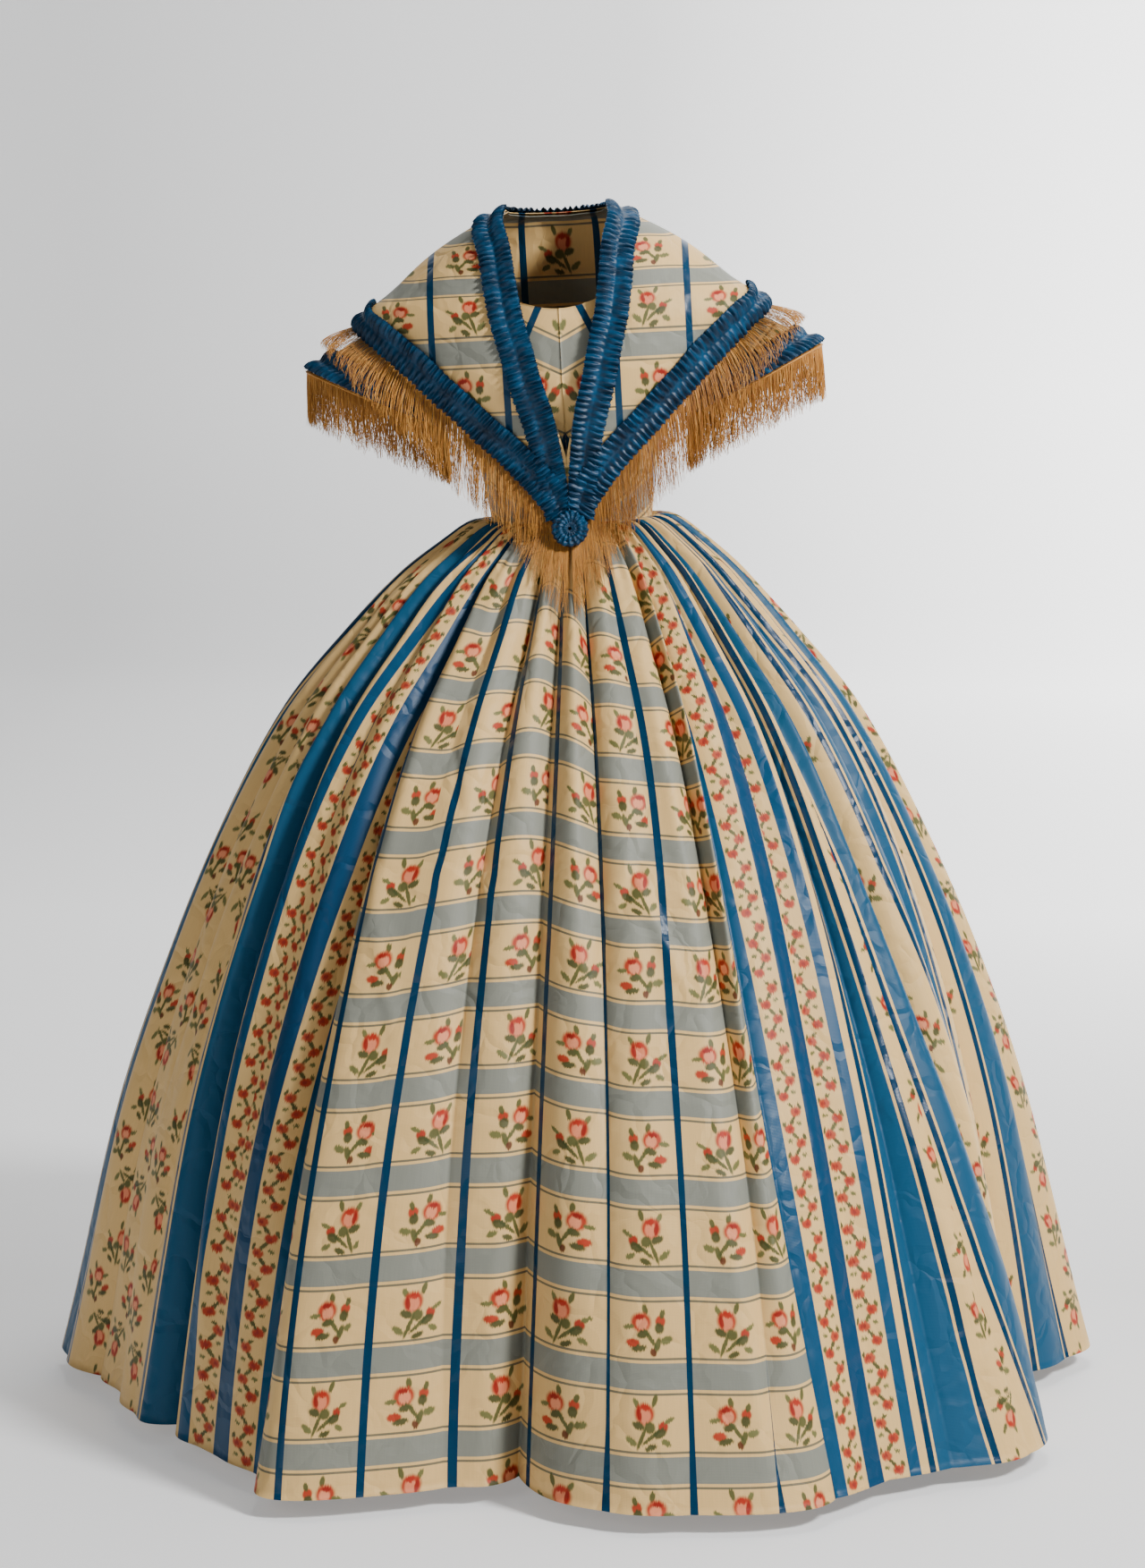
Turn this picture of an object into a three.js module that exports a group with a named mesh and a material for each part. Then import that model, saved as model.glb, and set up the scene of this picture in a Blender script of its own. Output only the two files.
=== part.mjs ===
// Evening gown of about 1850 in warp-printed silk, hollow as it is worn: a full pleated skirt of five
// breadths, a fitted bodice, short bell sleeves, a V-shaped bertha with ruched ribbon bands, a ribbon
// rosette at its point, and silk fringe.
// Millimetres. The origin is the centre of the waist, +Z is up, the front faces -Y, and +X is the
// wearer's left. Every piece is a thin closed wall or strip with its faces pointing out.
import * as THREE from 'three';

const DEGREE = Math.PI / 180;

// ---------------------------------------------------------------- driving dimensions

const skirtWall = 2;
const bodyWall = 1.5;
const seamGap = 0.4;
const restGap = 0.8;

const leanAngle = 3;
const leanFoot = -90;
const leanHead = 60;

const ribbonHalfWidth = 22.5;
const ribbonInset = 19;

const waistbandHalfHeight = 4;
const waistbandRadius = 104.5;
const waistbandDepth = 0.8;
const waistbandEdge = 0.6;
const waistbandColumns = 24;

const frontNeckline = 273;
const necklineCurve = 1.3;
const backNecklineDip = 6;
const shoulderLine = 399;
const bodiceFoot = 4.3;
const bodiceRows = 12;
const bodiceColumns = { front: 8, back: 14 };

const armholeCentre = 265;
const armholeRadius = 60;
const armholeFront = 30;
const armholeBack = 26;
const armholeRoundness = 0.8;
const armholeSeam = 1.8;

const fringeLocks = { front: 44, back: 56, sleeve: 32 };
const rucheWaves = { neckFront: 22, neckBack: 14, edgeFront: 26, edgeBack: 16, sleeve: 13 };

// The skirt's rings from the waist to the hem: height, radius at the sides, the share of that radius
// which the front and the back reach, how much lower the ring lies at the front, and how far a fold
// settles downwards for each millimetre that it is sunk.
const skirtRings = [
  { z: -4.3, radius: 107, front: 0.8, back: 0.8, fall: 0, settle: 0 },
  { z: 9, radius: 113, front: 0.8, back: 0.83, fall: 8, settle: 0.3 },
  { z: 6, radius: 132, front: 0.76, back: 0.88, fall: 9, settle: 0.5 },
  { z: -14, radius: 161, front: 0.7, back: 0.93, fall: 6, settle: 0.5 },
  { z: -62, radius: 222, front: 0.65, back: 0.99, fall: 0, settle: 0.5 },
  { z: -135, radius: 291, front: 0.68, back: 1.02, fall: 0, settle: 0.4 },
  { z: -233, radius: 371, front: 0.75, back: 1.04, fall: 0, settle: 0.3 },
  { z: -362, radius: 442, front: 0.815, back: 1.05, fall: 0, settle: 0.15 },
  { z: -540, radius: 517, front: 0.875, back: 1.05, fall: 0, settle: 0 },
  { z: -760, radius: 588, front: 0.94, back: 1.05, fall: 0, settle: 0 },
  { z: -1088, radius: 661, front: 0.985, back: 1.05, fall: 0, settle: 0 },
];

// The skirt's folds, one row for each valley: its azimuth at the hem and at the waist, how far it bows
// aside half way, and how far it is sunk a fifth of the way down, near the middle and at the hem.
// Azimuth 0 is the centre front.
const frontFolds = [
  { hem: -92, waist: -90, bow: 0, upper: 26, middle: 30, low: 14 },
  { hem: -84, waist: -81, bow: 0, upper: 18, middle: 10, low: 6 },
  { hem: -75, waist: -72, bow: 0, upper: 20, middle: 14, low: 12 },
  { hem: -67, waist: -64, bow: 0, upper: 16, middle: 10, low: 4 },
  { hem: -60, waist: -57, bow: 0, upper: 14, middle: 8, low: 4 },
  { hem: -52, waist: -49, bow: -2, upper: 34, middle: 52, low: 36 },
  { hem: -42, waist: -39, bow: -3, upper: 14, middle: 8, low: 3 },
  { hem: -31.5, waist: -29, bow: -4, upper: 34, middle: 46, low: 14 },
  { hem: -22, waist: -20, bow: -1, upper: 12, middle: 5, low: 3 },
  { hem: -12.5, waist: -9, bow: -3, upper: 28, middle: 26, low: 8 },
  { hem: -5, waist: -3, bow: 0.5, upper: 26, middle: 30, low: 42 },
  { hem: 4.5, waist: 4.5, bow: 1, upper: 26, middle: 24, low: 5 },
  { hem: 12.5, waist: 13, bow: 0.5, upper: 8, middle: 5, low: 3 },
  { hem: 20.5, waist: 23, bow: 0, upper: 28, middle: 34, low: 2 },
  { hem: 27, waist: 27, bow: -3.5, upper: 12, middle: 10, low: 8 },
  { hem: 34.5, waist: 34, bow: -1, upper: 12, middle: 8, low: 5 },
  { hem: 42, waist: 41, bow: 0, upper: 18, middle: 22, low: 6 },
  { hem: 51, waist: 44, bow: -2, upper: 10, middle: 5, low: 6 },
  { hem: 61, waist: 48, bow: -3, upper: 34, middle: 56, low: 18 },
  { hem: 69, waist: 60, bow: -1, upper: 20, middle: 14, low: 10 },
  { hem: 77, waist: 71, bow: 0, upper: 24, middle: 20, low: 20 },
  { hem: 86, waist: 83, bow: 0, upper: 20, middle: 14, low: 8 },
  { hem: 95, waist: 94, bow: 0, upper: 26, middle: 28, low: 12 },
];
const backFolds = { first: 104, last: 256, count: 13 };
const backFoldDepths = {
  upper: { mean: 29, varies: 5, turn: 2.1, start: 0 },
  middle: { mean: 27, varies: 9, turn: 2.4, start: 0 },
  low: { mean: 16, varies: 8, turn: 1.7, start: 1 },
};
const waistFoldDepth = 2;
const foldKnots = { upper: 0.184, middle: 0.45 };
const foldStations = [0, 0.22, 0.5, 0.78];
const foldRoundness = 0.7;

// How far the hem stands out of its ellipse, by azimuth.
const hemSwell = [
  { azimuth: -88, out: 14 },
  { azimuth: -81, out: 4 },
  { azimuth: -75, out: -22 },
  { azimuth: -69, out: -44 },
  { azimuth: -63, out: -34 },
  { azimuth: -56, out: -30 },
  { azimuth: -47, out: -30 },
  { azimuth: -38, out: -12 },
  { azimuth: -33, out: 6 },
  { azimuth: -29, out: 64 },
  { azimuth: -24, out: 56 },
  { azimuth: -16, out: -10 },
  { azimuth: -6, out: -60 },
  { azimuth: 4, out: 26 },
  { azimuth: 13, out: 54 },
  { azimuth: 23, out: 70 },
  { azimuth: 32, out: 28 },
  { azimuth: 40, out: 28 },
  { azimuth: 50, out: 66 },
  { azimuth: 57, out: 38 },
  { azimuth: 63, out: -34 },
  { azimuth: 70, out: -80 },
  { azimuth: 78, out: -58 },
  { azimuth: 84, out: -16 },
  { azimuth: 92, out: 26 },
  { azimuth: 100, out: 0 },
];

// The bodice, by height: half width and reach to the front and the back.
const bodiceSections = [
  { z: 4.3, side: 103, front: 84, back: 80 },
  { z: 60, side: 111, front: 94, back: 86 },
  { z: 120, side: 127, front: 115, back: 94 },
  { z: 170, side: 139, front: 130, back: 100 },
  { z: 215, side: 149, front: 131, back: 102 },
  { z: 260, side: 163, front: 124, back: 101 },
  { z: 297, side: 175, front: 113, back: 99 },
  { z: 315, side: 181, front: 108, back: 99 },
  { z: 331, side: 178, front: 101, back: 97 },
  { z: 359, side: 139, front: 90, back: 89 },
  { z: 384.5, side: 96, front: 69.5, back: 73.5 },
  { z: 399, side: 60, front: 49.5, back: 55.5 },
];
const bust = { azimuth: 28, z: 165, out: 10, spreadAzimuth: 20, spreadHeight: 55 };

// The bertha lies on one draped surface. Its sections run down from the neck: distance down the
// shoulder, height, half width, and reach to the front and the back.
const capeSections = [
  { drop: 0, z: 402, side: 62, front: 52, back: 62 },
  { drop: 39, z: 387.5, side: 98, front: 72, back: 80 },
  { drop: 90, z: 362, side: 142, front: 93, back: 95 },
  { drop: 136, z: 335, side: 180, front: 107, back: 104 },
  { drop: 182, z: 306, side: 215, front: 119, back: 109 },
  { drop: 243, z: 267, side: 262, front: 131, back: 112 },
  { drop: 279, z: 232, side: 254, front: 138, back: 112 },
  { drop: 324, z: 190, side: 238, front: 142, back: 110 },
  { drop: 404, z: 122, side: 196, front: 132, back: 102 },
  { drop: 467, z: 62, side: 178, front: 114, back: 92 },
  { drop: 529, z: 0, side: 170, front: 110, back: 86 },
  { drop: 556, z: -27, side: 169, front: 122, back: 86 },
  { drop: 574, z: -45, side: 168, front: 131, back: 86 },
];

// The bertha's two edges on that surface, from the centre front (station 0) over the shoulder
// (station 7) to the centre back (station 10).
const berthaEdges = [
  { station: 0, neckTurn: 0.06, neckDrop: 441, hemTurn: 0.06, hemDrop: 551 },
  { station: 1, neckTurn: 5.5, neckDrop: 351, hemTurn: 13, hemDrop: 494 },
  { station: 2, neckTurn: 9, neckDrop: 269, hemTurn: 25.5, hemDrop: 444 },
  { station: 3, neckTurn: 13.5, neckDrop: 191, hemTurn: 36, hemDrop: 406 },
  { station: 4, neckTurn: 22, neckDrop: 107, hemTurn: 44.5, hemDrop: 359 },
  { station: 5, neckTurn: 38, neckDrop: 50, hemTurn: 53, hemDrop: 313 },
  { station: 6, neckTurn: 60, neckDrop: 14, hemTurn: 70, hemDrop: 265 },
  { station: 7, neckTurn: 90, neckDrop: 2, hemTurn: 90, hemDrop: 243 },
  { station: 8, neckTurn: 120, neckDrop: 8, hemTurn: 112, hemDrop: 265 },
  { station: 9, neckTurn: 150, neckDrop: 12, hemTurn: 145, hemDrop: 342 },
  { station: 10, neckTurn: 180, neckDrop: 14, hemTurn: 180, hemDrop: 384 },
];
const shoulderStation = 7;
const centreBackStation = 10;
const berthaColumns = { front: 15, back: 20 };
const berthaRows = 7;

// The bell sleeve's rings past the armhole: centre, half height, half depth, and the tilt of the ring.
const sleeveRings = [
  { x: 204, y: -5, z: 223, height: 64, depth: 56, tilt: 62 },
  { x: 210, y: -4, z: 191, height: 76, depth: 54, tilt: 50 },
  { x: 242, y: -4, z: 171, height: 96, depth: 61, tilt: 26 },
];
const sleeveColumns = 2 * rucheWaves.sleeve;
const underarmLift = 3;

// A ruched band across its width: place, and height above the cloth at a pleat's crest and valley.
const rucheSection = [
  { across: 1, crest: 7, valley: 2.5 },
  { across: 0.53, crest: 8, valley: 4 },
  { across: 0, crest: 2.6, valley: 2 },
  { across: -0.53, crest: 8, valley: 4 },
  { across: -1, crest: 7, valley: 2.5 },
  { across: 0, crest: 0, valley: 0 },
];
// The neck's band ends low in the V, where its outer half is cut away beside the other edge's band.
const neckRucheFoot = { station: 0.24, outerHalf: 0.2, wholeFrom: 0.56 };

const rosette = { z: -2, radius: 23, thickness: 8, waves: 8, wave: 1.4, tilt: 17.6, standOff: 123.55 };
const rosetteProfile = [
  { radius: 0.85, height: 0 },
  { radius: 1, height: 0.35 },
  { radius: 0.72, height: 0.95 },
  { radius: 0.4, height: 0.8 },
  { radius: 0.2, height: 1 },
];

// Fringe on the bertha, by station: length and how far the tips stand out.
const berthaFringe = [
  { station: 0, length: 92, out: 4 },
  { station: 2, length: 92, out: 4 },
  { station: 4, length: 92, out: 8 },
  { station: 5, length: 90, out: 22 },
  { station: 6, length: 76, out: 56 },
  { station: 7, length: 62, out: 52 },
  { station: 8, length: 76, out: 56 },
  { station: 9, length: 92, out: 12 },
  { station: 10, length: 92, out: 6 },
];
const sleeveFringe = { length: 70, out: 3 };
const fringeStrip = { start: 0.9, end: 4.1, top: 0.75, face: 0.2, back: 3.4 };
const lock = { middle: 0.42, width: 0.62, thickness: 2.6, jitter: 5, clear: 6 };
const lockSway = { across: 2.3, along: 0.7 };

const colours = {
  printedSilk: { color: 0xe6d8b8, roughness: 0.55 },
  stripedSilk: { color: 0x5f8aa8, roughness: 0.5 },
  ribbon: { color: 0x14557f, roughness: 0.35 },
  fringe: { color: 0xc08a3e, roughness: 0.6 },
};

// ---------------------------------------------------------------- small tools

const lerp = (from, to, share) => from + (to - from) * share;
const clamp01 = (value) => Math.min(1, Math.max(0, value));
const vector = (x, y, z) => new THREE.Vector3(x, y, z);

function smooth(share) {
  const s = clamp01(share);
  return s * s * (3 - 2 * s);
}

// Every column of a table at one value of its key, on a smooth curve through the rows.
function tableAt(table, key, value) {
  const last = table.length - 1;
  const rising = Math.sign(table[last][key] - table[0][key]);
  let row = 0;
  while (row < last - 1 && (table[row + 1][key] - value) * rising < 0) {
    row += 1;
  }
  const span = table[row + 1][key] - table[row][key];
  const share = (value - table[row][key]) / span;
  const result = {};
  for (const column of Object.keys(table[0])) {
    const slope = (at) => {
      const before = table[Math.max(0, at - 1)];
      const after = table[Math.min(last, at + 1)];
      return (after[column] - before[column]) / (after[key] - before[key]);
    };
    const from = table[row][column];
    const to = table[row + 1][column];
    if (share < 0) {
      result[column] = from + slope(0) * (value - table[0][key]);
    } else if (share > 1) {
      result[column] = to + slope(last) * (value - table[last][key]);
    } else {
      const s2 = share * share;
      const s3 = s2 * share;
      result[column] = (2 * s3 - 3 * s2 + 1) * from + (s3 - 2 * s2 + share) * span * slope(row)
        + (3 * s2 - 2 * s3) * to + (s3 - s2) * span * slope(row + 1);
    }
  }
  return result;
}

// The whole upper part leans a little to the wearer's right.
function lean(point) {
  const angle = leanAngle * DEGREE * smooth((point.z - leanFoot) / (leanHead - leanFoot));
  return vector(
    point.x * Math.cos(angle) - point.z * Math.sin(angle),
    point.y,
    point.x * Math.sin(angle) + point.z * Math.cos(angle),
  );
}

const mirrored = (point) => vector(-point.x, point.y, point.z);
const bothSides = [['left', (point) => point], ['right', mirrored]];

// A closed body from its points and triangles, turned so that its faces point out.
function closedBody(points, faces) {
  const placed = points.map(lean);
  let volume = 0;
  for (let i = 0; i < faces.length; i += 3) {
    const [a, b, c] = [placed[faces[i]], placed[faces[i + 1]], placed[faces[i + 2]]];
    volume += a.dot(b.clone().cross(c));
  }
  const geometry = new THREE.BufferGeometry();
  const numbers = placed.flatMap((point) => point.toArray());
  geometry.setAttribute('position', new THREE.Float32BufferAttribute(numbers, 3));
  geometry.setIndex(volume < 0 ? faces.slice().reverse() : faces);
  geometry.computeVertexNormals();
  return geometry;
}

// A wall between two grids of points, with its rims. A wrapped wall goes all the way round.
function wall(outer, inner, wraps) {
  const rows = outer.length;
  const columns = outer[0].length;
  const inside = rows * columns;
  const faces = [];
  const quad = (a, b, c, d) => faces.push(a, b, c, a, c, d);
  const cells = wraps ? columns : columns - 1;
  for (let column = 0; column < cells; column += 1) {
    const next = (column + 1) % columns;
    for (let row = 0; row < rows - 1; row += 1) {
      const a = row * columns + column;
      const b = row * columns + next;
      const c = b + columns;
      const d = a + columns;
      quad(a, b, c, d);
      quad(inside + a, inside + d, inside + c, inside + b);
    }
    const foot = (rows - 1) * columns;
    quad(column, inside + column, inside + next, next);
    quad(foot + column, foot + next, inside + foot + next, inside + foot + column);
  }
  for (let row = 0; row < rows - 1 && !wraps; row += 1) {
    const a = row * columns;
    const d = a + columns;
    const b = d - 1;
    const c = b + columns;
    quad(a, d, inside + d, inside + a);
    quad(b, inside + b, inside + c, c);
  }
  return closedBody([...outer.flat(), ...inner.flat()], faces);
}

// A bar through rings of points, closed on itself or capped from each ring's last point.
function bar(rings, wraps) {
  const size = rings[0].length;
  const faces = [];
  const spans = wraps ? rings.length : rings.length - 1;
  for (let ring = 0; ring < spans; ring += 1) {
    const here = ring * size;
    const there = ((ring + 1) % rings.length) * size;
    for (let i = 0; i < size; i += 1) {
      const next = (i + 1) % size;
      faces.push(here + i, here + next, there + next, here + i, there + next, there + i);
    }
  }
  const foot = (rings.length - 1) * size;
  for (let i = 0; i < size - 2 && !wraps; i += 1) {
    faces.push(size - 1, i + 1, i, foot + size - 1, foot + i, foot + i + 1);
  }
  return closedBody(rings.flat(), faces);
}

const gown = new THREE.Group();

function addPiece(name, geometry, look) {
  const mesh = new THREE.Mesh(geometry, new THREE.MeshStandardMaterial({ ...look, metalness: 0 }));
  mesh.name = name;
  gown.add(mesh);
}

// ---------------------------------------------------------------- skirt

const folds = [...frontFolds];
for (let i = 0; i < backFolds.count; i += 1) {
  const azimuth = lerp(backFolds.first, backFolds.last, i / (backFolds.count - 1));
  const fold = { hem: azimuth, waist: azimuth, bow: 0 };
  for (const [knot, depth] of Object.entries(backFoldDepths)) {
    fold[knot] = depth.mean + depth.varies * Math.sin(i * depth.turn + depth.start);
  }
  folds.push(fold);
}

function foldRow(index) {
  const turns = Math.floor(index / folds.length);
  const fold = folds[index - turns * folds.length];
  return { ...fold, hem: fold.hem + 360 * turns, waist: fold.waist + 360 * turns };
}

function foldAzimuth(fold, down) {
  return lerp(fold.waist, fold.hem, down) + fold.bow * 4 * down * (1 - down);
}

function foldDepth(fold, down) {
  if (down < foldKnots.upper) {
    return lerp(waistFoldDepth, fold.upper, down / foldKnots.upper);
  }
  if (down < foldKnots.middle) {
    return lerp(fold.upper, fold.middle, (down - foldKnots.upper) / (foldKnots.middle - foldKnots.upper));
  }
  return lerp(fold.middle, fold.low, (down - foldKnots.middle) / (1 - foldKnots.middle));
}

function swellAt(azimuth) {
  const turned = ((azimuth + 180) % 360 + 360) % 360 - 180;
  const inside = turned > hemSwell[0].azimuth && turned < hemSwell[hemSwell.length - 1].azimuth;
  return inside ? tableAt(hemSwell, 'azimuth', turned).out : 0;
}

const ringDistances = [0];
for (let i = 1; i < skirtRings.length; i += 1) {
  const [above, below] = [skirtRings[i - 1], skirtRings[i]];
  ringDistances.push(ringDistances[i - 1] + Math.hypot(below.radius - above.radius, below.z - above.z));
}
const skirtLength = ringDistances[ringDistances.length - 1];

function skirtPoint(column, ringIndex) {
  const fold = Math.floor(column / foldStations.length);
  const along = foldStations[column - fold * foldStations.length];
  const [left, right] = [foldRow(fold), foldRow(fold + 1)];
  const ring = skirtRings[ringIndex];
  const down = ringDistances[ringIndex] / skirtLength;
  const azimuth = lerp(foldAzimuth(left, down), foldAzimuth(right, down), along);
  const depth = lerp(foldDepth(left, down), foldDepth(right, down), along);
  const rise = Math.sin(Math.PI * along) ** foldRoundness;
  const radius = ring.radius - depth * (1 - rise) + swellAt(azimuth) * down ** 2;
  const angle = azimuth * DEGREE;
  const reach = Math.cos(angle) > 0 ? ring.front : ring.back;
  const front = Math.max(0, Math.cos(angle)) ** 2;
  const z = ring.z - ring.fall * front - ring.settle * depth * (1 - rise);
  return vector(radius * Math.sin(angle), -radius * reach * Math.cos(angle), z);
}

function skirtInside(column, ringIndex) {
  const along = skirtPoint(column + 1, ringIndex).sub(skirtPoint(column - 1, ringIndex));
  const above = skirtPoint(column, Math.max(0, ringIndex - 1));
  const below = skirtPoint(column, Math.min(skirtRings.length - 1, ringIndex + 1));
  const outward = along.cross(above.sub(below)).normalize();
  return skirtPoint(column, ringIndex).addScaledVector(outward, -skirtWall);
}

// One breadth runs from valley to valley, with half a seam gap left off at each side.
function skirtBreadth(firstValley, lastValley) {
  const from = firstValley * foldStations.length;
  const to = lastValley * foldStations.length;
  const grid = (pointAt) => skirtRings.map((ring, ringIndex) => {
    const row = [];
    for (let column = from; column <= to; column += 1) {
      const point = pointAt(column, ringIndex);
      const side = (column === from) - (column === to);
      const along = skirtPoint(column + 1, ringIndex).sub(skirtPoint(column - 1, ringIndex)).normalize();
      row.push(point.addScaledVector(along, side * seamGap / 2));
    }
    return row;
  });
  return wall(grid(skirtPoint), grid(skirtInside), false);
}

const seams = { sideRight: 7, sideLeft: 14, backLeft: 23, centreBack: 29, backRight: 35 };
const sideRightAgain = seams.sideRight + folds.length;
addPiece('skirt_front', skirtBreadth(seams.sideRight, seams.sideLeft), colours.printedSilk);
addPiece('skirt_side_left', skirtBreadth(seams.sideLeft, seams.backLeft), colours.stripedSilk);
addPiece('skirt_back_left', skirtBreadth(seams.backLeft, seams.centreBack), colours.stripedSilk);
addPiece('skirt_back_right', skirtBreadth(seams.centreBack, seams.backRight), colours.stripedSilk);
addPiece('skirt_side_right', skirtBreadth(seams.backRight, sideRightAgain), colours.stripedSilk);

// ---------------------------------------------------------------- waistband

const waistbandProfile = [
  { z: waistbandHalfHeight, out: -waistbandEdge },
  { z: 0, out: 0 },
  { z: -waistbandHalfHeight, out: -waistbandEdge },
];

function waistbandGrid(inset) {
  return waistbandProfile.map((row) => Array.from({ length: waistbandColumns }, (_, i) => {
    const angle = (i / waistbandColumns) * 2 * Math.PI;
    const radius = waistbandRadius + row.out - inset;
    return vector(radius * Math.sin(angle), -radius * waistbandDepth * Math.cos(angle), row.z);
  }));
}

addPiece('waistband', wall(waistbandGrid(0), waistbandGrid(skirtWall), true), colours.printedSilk);

// ---------------------------------------------------------------- bodice

function bodicePoint(azimuth, z) {
  const ring = tableAt(bodiceSections, 'z', z);
  const angle = azimuth * DEGREE;
  const aside = (Math.abs(azimuth) - bust.azimuth) / bust.spreadAzimuth;
  const above = (z - bust.z) / bust.spreadHeight;
  const out = bust.out * Math.exp(-aside * aside - above * above);
  const reach = Math.cos(angle) > 0 ? ring.front : ring.back;
  return vector((ring.side + out) * Math.sin(angle), -(reach + out) * Math.cos(angle), z);
}

function outwardAt(surface, a, b, step) {
  const along = surface(a + step, b).sub(surface(a - step, b));
  const up = surface(a, b + step).sub(surface(a, b - step));
  return along.cross(up).normalize();
}

const bodiceOutward = (azimuth, z) => outwardAt(bodicePoint, azimuth, z, 0.5);

function armholeBulge(z) {
  const above = (z - armholeCentre) / armholeRadius;
  return Math.sqrt(Math.max(0, 1 - above * above)) ** armholeRoundness;
}

// A bodice panel from its centre line to its side seam, cut round the armhole.
function bodicePanel(azimuthAt, topAt, columns, shift) {
  const grid = (inset) => Array.from({ length: bodiceRows + 1 }, (_, row) => {
    const up = Math.sin((row / bodiceRows) * Math.PI / 2);
    return Array.from({ length: columns + 1 }, (__, column) => {
      const share = column / columns;
      const z = lerp(bodiceFoot, topAt(share), up);
      const azimuth = azimuthAt(share, z);
      const point = bodicePoint(azimuth, z);
      point.addScaledVector(bodiceOutward(azimuth, z), -inset);
      return shift(point, share);
    });
  });
  return wall(grid(0), grid(bodyWall), false);
}

const frontPanel = (side) => bodicePanel(
  (share, z) => share * (90 - armholeFront * armholeBulge(z)),
  (share) => lerp(frontNeckline, shoulderLine, share ** necklineCurve),
  bodiceColumns.front,
  (point, share) => {
    const x = share === 0 ? seamGap / 2 : point.x;
    const y = share === 1 ? point.y - seamGap / 2 : point.y;
    return vector(side * x, y, point.z);
  },
);
const backPanel = bodicePanel(
  (share, z) => lerp(90 + armholeBack * armholeBulge(z), 270 - armholeBack * armholeBulge(z), share),
  (share) => shoulderLine - backNecklineDip * Math.sin(Math.PI * share),
  bodiceColumns.back,
  (point, share) => vector(point.x, point.y + (share === 0 || share === 1 ? seamGap / 2 : 0), point.z),
);
addPiece('bodice_front_left', frontPanel(1), colours.printedSilk);
addPiece('bodice_front_right', frontPanel(-1), colours.printedSilk);
addPiece('bodice_back', backPanel, colours.printedSilk);

// ---------------------------------------------------------------- bertha

function capePoint(turn, drop) {
  const ring = tableAt(capeSections, 'drop', drop);
  const angle = turn * DEGREE;
  const reach = Math.cos(angle) > 0 ? ring.front : ring.back;
  return vector(ring.side * Math.sin(angle), -reach * Math.cos(angle), ring.z);
}

const capeOutward = (turn, drop) => outwardAt(capePoint, turn, drop, 0.4).negate();

// Where an edge of the bertha lies, also past the centre back on the other side.
function edgeAt(edge, station) {
  const folded = station > centreBackStation ? 2 * centreBackStation - station : station;
  const row = tableAt(berthaEdges, 'station', folded);
  const turn = row[`${edge}Turn`];
  return { turn: station > centreBackStation ? 360 - turn : turn, drop: row[`${edge}Drop`] };
}

const edgePoint = (edge, station) => {
  const { turn, drop } = edgeAt(edge, station);
  return capePoint(turn, drop);
};

// Stations at even distances along an edge.
function evenStations(edge, from, to, count) {
  const fine = 400;
  const pointAt = (i) => edgePoint(edge, lerp(from, to, i / fine));
  const lengths = [0];
  for (let i = 1; i <= fine; i += 1) {
    lengths.push(lengths[i - 1] + pointAt(i).distanceTo(pointAt(i - 1)));
  }
  return Array.from({ length: count + 1 }, (_, i) => {
    const wanted = (i / count) * lengths[fine];
    const at = lengths.findIndex((length) => length >= wanted - 1e-9);
    return lerp(from, to, at / fine);
  });
}

// Front pieces stay on their own side of the centre line and before the shoulder seam, back pieces
// behind it.
const halfGap = seamGap / 2;
const keepFront = (point) => vector(Math.max(point.x, halfGap), Math.min(point.y, -halfGap), point.z);
const keepBack = (point) => vector(point.x, Math.max(point.y, halfGap), point.z);

function berthaPanel(from, to, columns, keep) {
  const stations = evenStations('hem', from, to, columns);
  const grid = (inset) => Array.from({ length: berthaRows + 1 }, (_, row) => stations.map((station) => {
    const neck = edgeAt('neck', station);
    const hem = edgeAt('hem', station);
    const turn = lerp(neck.turn, hem.turn, row / berthaRows);
    const drop = lerp(neck.drop, hem.drop, row / berthaRows);
    const point = capePoint(turn, drop);
    point.addScaledVector(capeOutward(turn, drop), -inset);
    return keep(point);
  }));
  return wall(grid(0), grid(bodyWall), false);
}

const otherShoulder = 2 * centreBackStation - shoulderStation;
const keepFrontRight = (point) => mirrored(keepFront(point));
const berthaFrontLeft = berthaPanel(0, shoulderStation, berthaColumns.front, keepFront);
const berthaFrontRight = berthaPanel(0, shoulderStation, berthaColumns.front, keepFrontRight);
const berthaBack = berthaPanel(shoulderStation, otherShoulder, berthaColumns.back, keepBack);
addPiece('bertha_front_left', berthaFrontLeft, colours.printedSilk);
addPiece('bertha_front_right', berthaFrontRight, colours.printedSilk);
addPiece('bertha_back', berthaBack, colours.printedSilk);

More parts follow.
